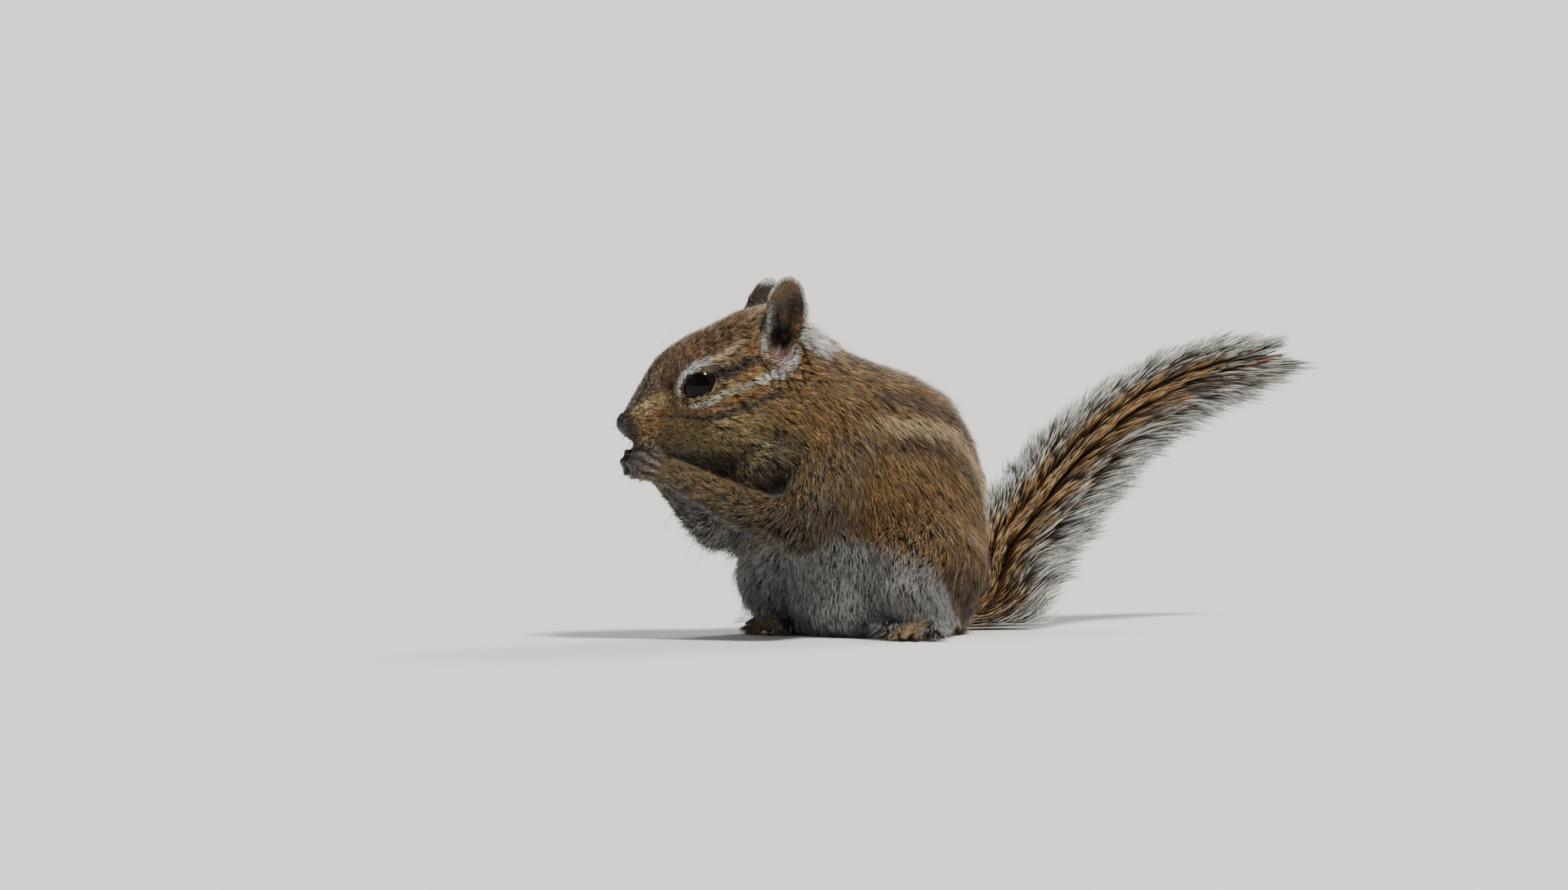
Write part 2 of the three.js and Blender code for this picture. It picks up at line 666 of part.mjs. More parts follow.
// A length of the tail starts with a flat across its core, from where a cone opens towards the tip,
// so that the locks rooted before the parting lie over the next length.
function tailBeyond(t, gap = 0) {
  const flare = 80;
  const radius = TAIL_CORE.halfWidth * tailTaper(t);
  const cone = new THREE.CylinderGeometry(radius + flare, radius, flare, 28).translate(0, flare / 2, 0);
  const ahead = tailLine.getTangentAt(t);
  const turn = new THREE.Quaternion().setFromUnitVectors(v3(0, 1, 0), ahead);
  const start = tailLine.getPointAt(t).addScaledVector(ahead, -gap * Math.SQRT2);
  return solidOf(cone.applyQuaternion(turn).translate(start.x, start.y, start.z));
}

const bothSides = { left: 1, right: -1 };
const chipmunk = new THREE.Group();
chipmunk.name = "chipmunk";

function addPart(name, solid, color, roughness = 0.9) {
  const { vertProperties, triVerts } = largest(solid).getMesh();
  const geometry = new THREE.BufferGeometry();
  geometry.setAttribute("position", new THREE.BufferAttribute(vertProperties, 3));
  geometry.setIndex(new THREE.BufferAttribute(triVerts, 1));
  geometry.computeVertexNormals();
  const material = new THREE.MeshStandardMaterial({ color, roughness, metalness: 0 });
  const part = new THREE.Mesh(geometry, material);
  part.name = name;
  chipmunk.add(part);
}

const onSides = (make) => Object.values(bothSides).map((side) => make(side));
const face = joined([wholeTrunk, nosePad, lowerLip(), ...onSides(lidMound)]);
const faceClearance = trunkClearance.add(lowerLip(GAP));
const faceCutters = [
  behind(headCut),
  lipCleft,
  mouthGroove,
  ...onSides(nostril),
  ...onSides((side) => eyeball(side, GAP)),
  ...onSides(lidOpening),
  ...Object.values(EARS).map((pose) => ear(pose, GAP)),
];
addPart("head", cutBy(face, faceCutters), "#8a6a45");
addPart("neck", cutBy(wholeTrunk, [behind(neckCut), aheadOf(headCut)]), "#8b6d4a");
addPart("torso", cutBy(wholeTrunk, [aheadOf(neckCut)]), "#8d7357");

for (const [name, side] of Object.entries(bothSides)) {
  const leg = HINDLIMBS[name];
  const otherHalf = beyond(NOSE_TIP, headAxes.left.clone().multiplyScalar(-side));
  const nearArm = [trunkClearance, thigh(leg, GAP)];
  const nearFoot = [trunkClearance, thigh(leg, GAP), shin(leg, GAP), belowFloor];
  addPart(`eye_${name}`, eyeball(side), "#0d0a08", 0.05);
  addPart(`ear_${name}`, ear(EARS[name]), "#7a5f49");
  addPart(`upper_arm_${name}`, cutBy(upperArm(side), nearArm), "#95785a");
  addPart(`forearm_${name}`, cutBy(forearm(side), [...nearArm, upperArm(side, GAP)]), "#9a7a58");
  addPart(`hand_${name}`, cutBy(hand(side), [faceClearance, forearm(side, GAP), otherHalf]), "#a89a90");
  addPart(`thigh_${name}`, cutBy(thigh(leg), [trunkClearance, belowFloor]), "#94795c");
  addPart(`shin_${name}`, cutBy(shin(leg), [trunkClearance, thigh(leg, GAP), belowFloor]), "#93795f");
  addPart(`foot_${name}`, cutBy(foot(leg), nearFoot), "#a58f78");
}

const tailCore = limb(
  TAIL_PATH.map((point, i) => {
    const taper = tailTaper(i / (TAIL_PATH.length - 1));
    return [point, TAIL_CORE.halfWidth * taper, TAIL_CORE.halfDepth * taper];
  }),
  v3(-0.55, 0, 0.83),
  { rings: 20, sides: 12 },
);
const wholeTail = cutBy(joined([tailCore, tailLocks()]), [trunkClearance, belowFloor]);
const [firstParting, secondParting] = TAIL_PARTINGS;
addPart("tail_root", wholeTail.subtract(tailBeyond(firstParting, GAP)), "#7d6650");
addPart(
  "tail_middle",
  wholeTail.intersect(tailBeyond(firstParting)).subtract(tailBeyond(secondParting, GAP)),
  "#77624f",
);
addPart("tail_end", wholeTail.intersect(tailBeyond(secondParting)), "#6d5c4e");

export default chipmunk;
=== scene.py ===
# A western chipmunk sitting up with both forepaws at its mouth, at life size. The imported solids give
# its form out to the tips of the coat. Here it gets skin, fur, eyes, claws and whiskers.
# Sizes are in millimetres until a mesh is made.
from itertools import pairwise

import bpy
import numpy as np
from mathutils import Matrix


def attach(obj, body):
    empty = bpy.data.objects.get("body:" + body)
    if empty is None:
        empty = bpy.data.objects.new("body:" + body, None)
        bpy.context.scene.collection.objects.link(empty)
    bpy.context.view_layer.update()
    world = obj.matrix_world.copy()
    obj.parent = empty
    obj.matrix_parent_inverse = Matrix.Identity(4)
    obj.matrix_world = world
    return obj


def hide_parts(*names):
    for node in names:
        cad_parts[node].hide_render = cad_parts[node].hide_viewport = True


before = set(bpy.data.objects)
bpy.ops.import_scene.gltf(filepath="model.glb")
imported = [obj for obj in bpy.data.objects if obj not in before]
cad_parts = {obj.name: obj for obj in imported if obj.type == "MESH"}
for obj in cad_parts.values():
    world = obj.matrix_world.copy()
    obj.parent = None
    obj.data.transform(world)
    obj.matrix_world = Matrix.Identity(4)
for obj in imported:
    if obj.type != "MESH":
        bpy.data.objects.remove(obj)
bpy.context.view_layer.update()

# Studio: a pale plain floor in a pale room. A broad soft light stands above, to the right and a little
# in front, a weaker one to the left and another behind. The lens is long and level with the animal.
FOCUS = np.array([-0.0195, 0.0, 0.0385])
CAMERA_DISTANCE = 2.65
CAMERA_ELEVATION = np.radians(2.0)
SENSOR_WIDTH = 36.0
IMAGE_WIDTH = 2048
MM_A_PIXEL = 0.155
FRAME_WIDTH = IMAGE_WIDTH * MM_A_PIXEL * 0.001
ROOM_COLOUR = (0.78, 0.78, 0.77)
ROOM_LIGHT = 0.28
LIGHTS = {  # where it stands, its strength, its spread in degrees and its colour
    "key_light": ((0.7, -0.75, 1.9), 4.5, 11.0, (1.0, 0.97, 0.92)),
    "fill_light": ((-1.5, -1.2, 0.8), 0.3, 60.0, (0.92, 0.96, 1.0)),
    "rim_light": ((0.9, 1.4, 1.2), 2.0, 20.0, (1.0, 0.98, 0.95)),
}
FLOOR_RADIUS = 250.0
FLOOR_SIDES = 96


def aim(thing, spot, target):
    """Places a camera or light at spot and turns its -Z axis to the target, with +Y as far up as can be."""
    thing.location = spot
    way = np.asarray(target, float) - np.asarray(spot, float)
    pan = np.arctan2(-way[0], way[1])
    tilt = np.arctan2(way[2], np.hypot(way[0], way[1]))
    thing.rotation_euler = (np.pi / 2 + tilt, 0.0, pan)


def add_object(name, data):
    """A new object of the scene that shows the data."""
    made = bpy.data.objects.new(name, data)
    bpy.context.scene.collection.objects.link(made)
    return made


def broad_light(name, spot, strength, spread, colour):
    """A far light that reaches every place alike, spread over an angle in degrees."""
    lamp = bpy.data.lights.new(name, "SUN")
    lamp.energy = strength
    lamp.angle = np.radians(spread)
    lamp.color = colour
    aim(add_object(name, lamp), spot, FOCUS)


lens = bpy.data.cameras.new("camera")
lens.sensor_width = SENSOR_WIDTH
lens.lens = SENSOR_WIDTH * CAMERA_DISTANCE / FRAME_WIDTH
lens.clip_start = 0.1
lens.clip_end = 1000.0
camera = add_object("camera", lens)
back_off = np.array([0.0, -np.cos(CAMERA_ELEVATION), np.sin(CAMERA_ELEVATION)]) * CAMERA_DISTANCE
aim(camera, FOCUS + back_off, FOCUS)
bpy.context.scene.camera = camera

for name, row in LIGHTS.items():
    broad_light(name, *row)

room = bpy.data.worlds.new("room")
room.use_nodes = True
room.node_tree.nodes["Background"].inputs["Color"].default_value = (*ROOM_COLOUR, 1.0)
room.node_tree.nodes["Background"].inputs["Strength"].default_value = ROOM_LIGHT
bpy.context.scene.world = room


def plain_material(name, colour, roughness):
    """A new Principled material, and its node tree and shader for what is added to it."""
    material = bpy.data.materials.new(name)
    material.use_nodes = True
    tree = material.node_tree
    shader = tree.nodes["Principled BSDF"]
    shader.inputs["Base Color"].default_value = (*colour, 1.0)
    shader.inputs["Roughness"].default_value = roughness
    return material, tree, shader


floor_mesh = bpy.data.meshes.new("floor")
turn = np.linspace(0, 2 * np.pi, FLOOR_SIDES, endpoint=False)
rim = np.stack([np.cos(turn), np.sin(turn), 0 * turn], 1) * FLOOR_RADIUS
floor_mesh.from_pydata(rim.tolist(), [], [list(range(len(rim)))])
floor_mesh.materials.append(plain_material("floor", ROOM_COLOUR, 0.8)[0])
add_object("floor", floor_mesh)


# Skin: the hide under the whole coat, one closed surface with the ears and the core of the tail. It
# starts from the solids, is closed over their joins and sockets and smoothed, and is then drawn in by the
# depth of the coat that grows on it.
GROW = 0.2  # what closes the joins
PAW_GROW = 0.04  # less, to keep the fingers and toes apart
SKIN_CELL = 0.36
ROUGH_ROUNDS, FINE_ROUNDS, SOFT_ROUNDS = 8, 2, 320  # of smoothing
KEPT_FACES = 0.48
PELVIS_YAW = 50.0
LIP, LIP_SIZE = (4.8, 0, -4.0), (2.3, 2.3, 1.9)
CHEEK_PAD, CHEEK_PAD_SIZE = (27.5, 6.8, -12.5), (8.5, 6.5, 6.5)  # loose flesh between cheek and arm
WRIST, KNUCKLES = (9, 6.4, -12), (4.4, 5, -8.8)
NAPE_HOLLOW, NAPE_DIP = (-8.0, -8.0, 57.0), 0.5  # between the ears and the hunched back
TUFT_SPOT, TUFT_RISE = (43, 7, 12), 1.9  # of the swelling under the white tuft behind the ear
ELBOW_DRAW = 1.2
FLESH = [name for name in sorted(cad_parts) if not name.startswith(("eye", "tail"))]


def step(value, soft):
    """0 below -soft and 1 above soft. Between, with t going from 0 to 1, it is 3 t squared less 2 t cubed."""
    t = np.clip(0.5 + 0.5 * value / soft, 0, 1)
    return t * t * (3 - 2 * t)


def unit(rows):
    """Each row divided by its length."""
    return rows / np.maximum(np.linalg.norm(rows, axis=-1, keepdims=True), 1e-9)


def axes_of(yaw, pitch=0.0):
    """Forward, left and up of a part that faces -X, turned by yaw to -Y and pitched up, in degrees."""
    y, p = np.radians(yaw), np.radians(pitch)
    forward = np.stack([-np.cos(y) * np.cos(p), -np.sin(y) * np.cos(p), np.sin(p)], -1)
    left = np.stack([np.sin(y), -np.cos(y), 0 * y], -1)
    return forward, left, np.cross(forward, left)


def placer(origin, axes):
    """Turns distances ahead, left and up into a place."""
    return lambda ahead, left, up: np.array(origin) + ahead * axes[0] + left * axes[1] + up * axes[2]


HEAD_AXES = axes_of(12.0, -12.0)
PELVIS_AXES = axes_of(PELVIS_YAW)
CHEST_AXES = axes_of(32.0)
NOSE_TIP = np.array([-53.3, -21.0, 42.9])
from_nose = placer(NOSE_TIP, HEAD_AXES)
in_chest = placer((-15.0, -10.0, 0.0), CHEST_AXES)
in_pelvis = placer((0.0, 2.0, 0.0), PELVIS_AXES)


def in_head(behind, left, up):
    """The place so far behind the nose's tip, left and up in the head's axes."""
    return from_nose(-behind, left, up)


def beside_head(spot, side):
    """A spot given for the left of the head, on the side asked for: 1 is left and -1 right."""
    behind, left, up = spot
    return in_head(behind, side * left, up)


def gap_to(points, spot):
    """Distance of each point from the spot."""
    return np.linalg.norm(points - np.asarray(spot), axis=1)


def smooth_path(rows, count):
    """Catmull-Rom curve through the rows, read at count even steps of its parameter."""
    rows = np.asarray(rows, float)
    ends = np.concatenate([[2 * rows[0] - rows[1]], rows, [2 * rows[-1] - rows[-2]]])
    where = np.linspace(0, len(rows) - 1, count)
    k = np.minimum(where.astype(int), len(rows) - 2)
    t = (where - k)[:, None]
    a, b, c, d = ends[k], ends[k + 1], ends[k + 2], ends[k + 3]
    return 0.5 * (2 * b + (c - a) * t + (2 * a - 5 * b + 4 * c - d) * t**2 + (3 * b - a - 3 * c + d) * t**3)


def rings_round(centres, radii, across, third, sides):
    """A ring round each centre: the centre plus the radius times across by the cosine and third by the sine
    of an angle that goes once round."""
    a = np.linspace(0, 2 * np.pi, sides, endpoint=False)[None, :, None]
    return centres[:, None] + np.asarray(radii)[:, None, None] * (
        across[:, None] * np.cos(a) + third[:, None] * np.sin(a)
    )


def walls_between(count, sides, closed=False):
    """Four-cornered faces from each ring to the next, and from the last to the first if closed."""
    r, s = np.meshgrid(np.arange(count - 1 + closed), np.arange(sides), indexing="ij")
    q, n = (r + 1) % count, (s + 1) % sides
    return np.stack([r * sides + s, r * sides + n, q * sides + n, q * sides + s], -1).reshape(-1, 4)


def with_poles(rings, first, last):
    """Points and faces of a row of rings closed by a pole at each end."""
    count, sides = rings.shape[:2]
    points = np.concatenate([rings.reshape(-1, 3), [first, last]])
    i = np.arange(sides)
    j = (i + 1) % sides
    top = (count - 1) * sides
    low_cap = np.stack([np.full(sides, count * sides), j, i], 1)
    high_cap = np.stack([np.full(sides, count * sides + 1), top + i, top + j], 1)
    return points, walls_between(count, sides).tolist() + low_cap.tolist() + high_cap.tolist()


def tube(centres, radii, sides):
    """Closed tube: a ring round each centre, square to the path, and a pole at each end."""
    ahead = unit(np.gradient(centres, axis=0))
    across = unit(np.cross(ahead, [0.3, 0.1, 1.0]))
    rings = rings_round(centres, radii, across, np.cross(ahead, across), sides)
    return with_poles(rings, centres[0], centres[-1])


def ball(centre, radii, axes, sides=40, rows=28):
    """Closed oval ball: a sphere's grid of rows and sides scaled along the three axes."""
    p = np.linspace(0, np.pi, rows)
    spine = np.array(centre) - np.cos(p)[:, None] * radii[0] * axes[0]
    across, third = (radii[1] * axes[1])[None], (radii[2] * axes[2])[None]
    rings = rings_round(spine[1:-1], np.maximum(np.sin(p), 0.0)[1:-1], across, third, sides)
    return with_poles(rings, spine[0], spine[-1])


def mesh_of(name, points, faces):
    """Mesh of points in millimetres and lists of corners."""
    made = bpy.data.meshes.new(name)
    made.from_pydata((np.asarray(points) * 0.001).tolist(), [], faces)
    made.update()
    return made


def read_all(rows, key, width, kind=np.float32):
    """The values of all rows under a key, each of width numbers."""
    got = np.empty(len(rows) * width, kind)
    rows.foreach_get(key, got)
    return got.reshape(-1, width)


def points_of(mesh):
    """The mesh's points in millimetres."""
    return read_all(mesh.vertices, "co", 3).astype(float) * 1000


def normals_of(mesh):
    """The way out of the mesh at each point."""
    return read_all(mesh.vertex_normals, "vector", 3).astype(float)


def corners_of(mesh):
    """The three corners of each face of a mesh of triangles."""
    return read_all(mesh.loops, "vertex_index", 1, np.int32).reshape(-1, 3)


def joined(shapes):
    """The points and the faces of several shapes as one."""
    points, faces, start = [], [], 0
    for place, corners in shapes:
        points.append(place)
        faces += [[start + v for v in face] for face in corners]
        start += len(place)
    return np.concatenate(points), faces


def with_modifiers(name, mesh, modifiers):
    """The mesh after the modifiers, each given as its type and its settings."""
    holder = add_object(name, mesh)
    for kind, settings in modifiers:
        added = holder.modifiers.new(kind.lower(), kind)
        for key, value in settings.items():
            setattr(added, key, value)
    graph = bpy.context.evaluated_depsgraph_get()
    done = bpy.data.meshes.new_from_object(holder.evaluated_get(graph))
    bpy.data.objects.remove(holder)
    return done


TAIL_PATH = [(9.5, 13.5, 7), (16.5, 20.5, 5.2), (22.5, 26.5, 8.5), (27, 31.5, 17.5), (34.2, 37.5, 27)]
TAIL_PATH += [(42.2, 43, 36), (51.6, 49.5, 43.8), (61.8, 56.5, 49.6), (71, 62, 52.7), (78.5, 66, 54.2)]
# The throat's place in the head's axes and its half thickness.
THROAT = [(29, 0, -13, 8), (22, 0, -13, 6.4), (17, 0, -12.4, 4.6), (12.5, 0, -10.6, 2.6)]
EYE_RADIUS = 4.6
EYE_PLACE = (17.3, 7.1, 4.9)
FINGERS = [(3.1, 3.1), (1.1, 4.1), (-1, 4.2), (-3, 3.2)]  # place across the hand and reach


def eye_axes(side):
    """Outward, back and up of an eye: it looks to the side, a little ahead and a little up."""
    forward, left, up = HEAD_AXES
    outward = unit(side * left + 0.28 * forward + 0.12 * up)
    slant = np.radians(23.0)
    level = -np.cos(slant) * forward + np.sin(slant) * up
    lid_up = unit(np.cross(outward, level) * side)
    return outward, np.cross(lid_up, outward) * side, lid_up


def hand_frame(side):
    """Middle of the knuckles, and the ways ahead, inward and across the back of a hand."""
    knuckles = beside_head(KNUCKLES, side)
    ahead = unit(knuckles - beside_head(WRIST, side))
    inward = -side * HEAD_AXES[1]
    return knuckles, ahead, inward, unit(np.cross(inward, ahead)) * side


def grown_solids():
    """Every flesh node's surface, its doubles merged and its points moved out by GROW, and with it the tail's
    core, the throat, the lower lip, the pads and eyes of both sides and the fingers, as one mesh."""
    shapes = []
    for name in FLESH:
        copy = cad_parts[name].data.copy()
        merged = with_modifiers(name + "_copy", copy, [("WELD", {"merge_threshold": 1e-6})])
        grow = PAW_GROW if name.startswith(("hand", "foot")) else GROW
        shapes.append((points_of(merged) + grow * normals_of(merged), corners_of(merged).tolist()))
    tail_half = np.interp(np.linspace(0, 1, 60), [0, 0.1, 1], [3.5, 3.2, 1.2])
    shapes.append(tube(smooth_path(TAIL_PATH, 60), tail_half, 20))
    throat_line = smooth_path([in_head(*row[:3]) for row in THROAT], 12)
    throat_half = np.interp(np.linspace(0, 1, 12), np.linspace(0, 1, len(THROAT)), [row[3] for row in THROAT])
    shapes.append(tube(throat_line, throat_half, 20))
    shapes.append(ball(in_head(*LIP), LIP_SIZE, HEAD_AXES))
    for side in (1, -1):
        shapes.append(ball(beside_head(CHEEK_PAD, side), CHEEK_PAD_SIZE, HEAD_AXES))
        shapes.append(ball(beside_head(EYE_PLACE, side), (EYE_RADIUS - 0.5,) * 3, eye_axes(1)))
        knuckles, ahead, inward, spread = hand_frame(side)
        for offset, reach in FINGERS:
            root = knuckles + spread * offset * 0.85 - ahead
            bend = root + ahead * reach + spread * offset * 0.2
            tip = bend + inward * 2.2 + ahead * 0.3
            thickness = np.interp(range(9), [0, 4, 8], [0.9, 1.35, 1.25])
            shapes.append(tube(smooth_path([root, bend, tip], 9), thickness, 14))
    return mesh_of("grown", *joined(shapes))


# The line of the body from the rump to the nose: place, yaw, pitch and mean half thickness. Places on
# the trunk and head are given by the distance along it and the angle round it from the back.
SPINE_ROWS = [
    (2, 4, -3.5, 50, 84, 12),
    (1.5, 3.5, 3, 50, 82, 18),
    (1, 3, 12.5, 50, 76, 21),
    (0, 2, 24, 47, 64, 21.5),
    (-3.5, -1.5, 34.5, 42, 50, 20),
    (-11, -7, 40.5, 34, 34, 17),
    (-18.5, -12, 45, 24, 16, 15.5),
    (-25, -15, 50, 17, 2, 15),
    (*in_head(24, 0, 0.4), 12, -12, 14),
    (*in_head(14.6, 0, 0.8), 12, -12, 11),
    (*in_head(7.4, 0, 0.3), 12, -12, 6.8),
    (*in_head(0.8, 0, -0.1), 12, -12, 2.2),
]
spine = smooth_path(SPINE_ROWS, 240)
spine_axes = axes_of(spine[:, 3], spine[:, 4])
spine_run = np.concatenate([[0], np.cumsum(np.linalg.norm(np.diff(spine[:, :3], axis=0), axis=1))])
spine_run = spine_run[-1] - spine_run  # from the nose back


def nearest_row(points, line):
    """For each point, which row of the line lies nearest."""
    best = np.empty(len(points), int)
    for start in range(0, len(points), 20000):
        part = points[start : start + 20000]
        gap = (part**2).sum(1)[:, None] - 2 * part @ line.T + (line**2).sum(1)[None]
        best[start : start + 20000] = gap.argmin(1)
    return best


def on_body(points):
    """Distance behind the nose along the body's line, and degrees round it from the back to the left."""
    k = nearest_row(points, spine[:, :3])
    arm = points - spine[k, :3]
    up = (arm * spine_axes[2][k]).sum(1)
    left = (arm * spine_axes[1][k]).sum(1)
    return spine_run[k], np.degrees(np.arctan2(left, up))


def in_head_frame(points):
    """Distance behind the nose, distance out from the middle plane and height, all in the head's axes."""
    arm = points - NOSE_TIP
    return -arm @ HEAD_AXES[0], arm @ HEAD_AXES[1], arm @ HEAD_AXES[2]


# Bones: a segment, its half thickness and the name of its pelage. A point of the skin belongs to the
# bones round it by closeness, which gives the lay of its hair and all that changes from part to part.
PELAGE = {  # coat depth, hair length, half width of a tuft, tufts on a square millimetre
    "nose": (0.1, 0.5, 0.035, 50),
    "face": (0.75, 1.7, 0.042, 34),
    "crown": (1.3, 2.6, 0.054, 22),
    "nape": (1.9, 4.2, 0.068, 13),
    "back": (2.2, 4.8, 0.072, 10.2),
    "arm": (1.6, 4.6, 0.07, 11.5),
    "forearm": (0.9, 3.3, 0.056, 17),
    "throat": (0.9, 4.0, 0.065, 11),
    "hand": (0.06, 0.95, 0.034, 50),
    "thigh": (2.0, 4.9, 0.072, 10.6),
    "shin": (1.2, 3.8, 0.06, 15),
    "foot": (0.08, 0.9, 0.04, 26),
    "ear": (0.0, 0.6, 0.03, 42),
    "tail": (0.0, 3.0, 0.1, 0),
}
# Middle of an ear's mouth, and how far it leans back and swings to the front, in degrees.
EARS = {1: ((35.5, 12.1, 14.2), 22.0, 23.0), -1: ((34.6, -10.8, 14.0), 33.0, 30.0)}
# How far a leg is drawn up, the degrees its foot is splayed by, and the heel's place on the pelvis.
LEGS = {1: (0.0, 19.0, (-7.0, 13.8)), -1: (2.2, 2.0, (-9.5, -15.0))}


def ear_axes(side):
    """Up, back and outward of an ear that leans back and turns from the side to the front."""
    tilt, swing = np.radians(EARS[side][1]), np.radians(EARS[side][2])
    forward, left, up = HEAD_AXES
    tall = -np.sin(tilt) * forward + np.cos(tilt) * up
    towards = side * np.cos(swing) * left + np.sin(swing) * forward
    back = unit(np.cross(tall, towards)) * side
    return tall, back, unit(np.cross(back, tall)) * side


def in_ear_frame(points, side):
    """Distances back, up and outward from the middle of an ear's mouth."""
    tall, back, out = ear_axes(side)
    arm = points - in_head(*EARS[side][0])
    return arm @ back, arm @ tall, arm @ out


def elbow_of(side):
    """The place of an elbow."""
    return in_chest(11.5, side * 15.5, 22.5)


def foot_frame(side):
    """A foot's yaw, and the placer of what lies so far ahead of its heel, left and up."""
    splay, heel = LEGS[side][1:]
    yaw = PELVIS_YAW + side * splay
    return yaw, placer(in_pelvis(*heel, 0), axes_of(yaw))


def bones():
    """Start, end, half thickness and pelage of every bone: the spine's, each side's limbs and ear, the
    throat's and the tail's."""
    rows = []
    names = ["back"] * 5 + ["nape", "nape", "crown", "face", "face", "nose"]
    for (low, high), name in zip(pairwise(SPINE_ROWS), names):
        rows.append((high[:3], low[:3], (low[5] + high[5]) / 2, name))
    for side in (1, -1):
        shoulder, elbow = in_chest(-1.5, side * 10.5, 39), elbow_of(side)
        wrist, knuckles = beside_head(WRIST, side), beside_head(KNUCKLES, side)
        tips = knuckles + (knuckles - wrist) * 0.9
        drawn, sole = LEGS[side][0], foot_frame(side)[1]
        knee = in_pelvis(12 + drawn, side * 17, 15.5 + 0.5 * drawn)
        ear, ear_up = in_head(*EARS[side][0]), ear_axes(side)[0]
        rows += [
            (shoulder, elbow, 7.0, "arm"),
            (elbow, wrist, 4.6, "forearm"),
            (wrist, knuckles, 2.6, "hand"),
            (knuckles, tips, 2.2, "hand"),
            (in_pelvis(-6.5, side * 11, 13.5), knee, 10.5, "thigh"),
            (in_pelvis(13.5 + drawn, side * 18, 12.5), in_pelvis(2, side * 16, 5), 5.6, "shin"),
            (sole(0, 0, 2.6), sole(22, 0, 2.6), 2.8, "foot"),
            (sole(22, 0, 2.0), sole(29, 0, 1.6), 2.6, "foot"),
            (ear - ear_up * 5, ear + ear_up * 9, 5.0, "ear"),
        ]
    rows.append((in_head(12, 0, -10), in_head(28, 0, -13), 5.5, "throat"))
    rows += [(low, high, 2.6, "tail") for low, high in pairwise(TAIL_PATH)]
    return rows


BONES = bones()
BONE_START = np.array([row[0] for row in BONES], float)
BONE_RUN = np.array([row[1] for row in BONES], float) - BONE_START
BONE_THICK = np.array([row[2] for row in BONES])
BONE_PELAGE = np.array([PELAGE[row[3]] for row in BONES])
BONE_KINDS = np.array([row[3] for row in BONES])
SIDE_BONES = 9  # of each side's limbs and ear, the left side's first
on_left_limb = np.arange(len(BONES)) < len(SPINE_ROWS) - 1 + SIDE_BONES


def bone_weights(points):
    """Share of each bone in each point: the sixth power of half thickness over distance, made to sum to 1."""
    shares = np.empty((len(points), len(BONES)))
    for b, (start, run, thick) in enumerate(zip(BONE_START, BONE_RUN, BONE_THICK)):
        arm = points - start
        along = np.clip(arm @ run / (run @ run), 0, 1)
        gap = np.linalg.norm(arm - along[:, None] * run, axis=1)
        shares[:, b] = (thick / np.maximum(gap, 0.3)) ** 6
    return shares / shares.sum(1, keepdims=True)


def kind_share(weights, *kinds):
    """Sum of the shares of all bones with these pelages."""
    return weights[:, np.isin(BONE_KINDS, kinds)].sum(1)


def on_part(weights, *kinds):
    """1 where these pelages have well over half of a place, 0 where they have well under half."""
    return step(kind_share(weights, *kinds) - 0.5, 0.3)


def smoothed(mesh, rounds):
    """A copy of the mesh with each point moved half way to its neighbours' mean, as many rounds as given."""
    return with_modifiers("smoothed", mesh.copy(), [("SMOOTH", {"factor": 0.5, "iterations": rounds})])


remesher = ("REMESH", {"mode": "VOXEL", "voxel_size": SKIN_CELL * 0.001})
remeshed = with_modifiers("remeshed", grown_solids(), [remesher])
rough_skin = smoothed(remeshed, ROUGH_ROUNDS)
fine_skin = smoothed(remeshed, FINE_ROUNDS)
soft_skin = smoothed(remeshed, SOFT_ROUNDS)
place = points_of(rough_skin)
outward = normals_of(rough_skin)
weights = bone_weights(place)
fine_share = on_part(weights, "hand", "foot", "ear")[:, None]
place = place + fine_share * (points_of(fine_skin) - place)
# Loose skin and fur hide the furrows round the limbs: where the soft copy lies higher, it rises to that.
rise = ((points_of(soft_skin) - place) * outward).sum(1)
loose = kind_share(weights, "back", "arm", "thigh", "shin") + 0.3 * kind_share(weights, "nape")
place += outward * (np.clip(rise, 0, 4) * loose)[:, None]
depth = weights @ BONE_PELAGE[:, 0]
for side in (1, -1):
    gap = gap_to(place, beside_head(EYE_PLACE, side))
    depth *= np.interp(gap, [EYE_RADIUS + 1, EYE_RADIUS + 3], [0.1, 1])
depth += NAPE_DIP * np.exp(-((gap_to(place, NAPE_HOLLOW) / 8) ** 2))
for side in (1, -1):
    depth -= TUFT_RISE * np.exp(-((gap_to(place, beside_head(TUFT_SPOT, side)) / 4.5) ** 2))
depth += 0.6 * GROW
under_elbow = kind_share(weights, "arm", "forearm") * step(-outward[:, 2] - 0.1, 0.5)
under_elbow *= step(29 - place[:, 2], 5)
depth += ELBOW_DRAW * under_elbow
place = place - outward * depth[:, None]
place[:, 2] = np.maximum(place[:, 2], 0.25)
rough_skin.vertices.foreach_set("co", (place * 0.001).astype(np.float32).ravel())
finishing = [("SMOOTH", {"factor": 0.5, "iterations": 2}), ("DECIMATE", {"ratio": KEPT_FACES})]
skin = add_object("skin", with_modifiers("drawn_in", rough_skin, finishing))


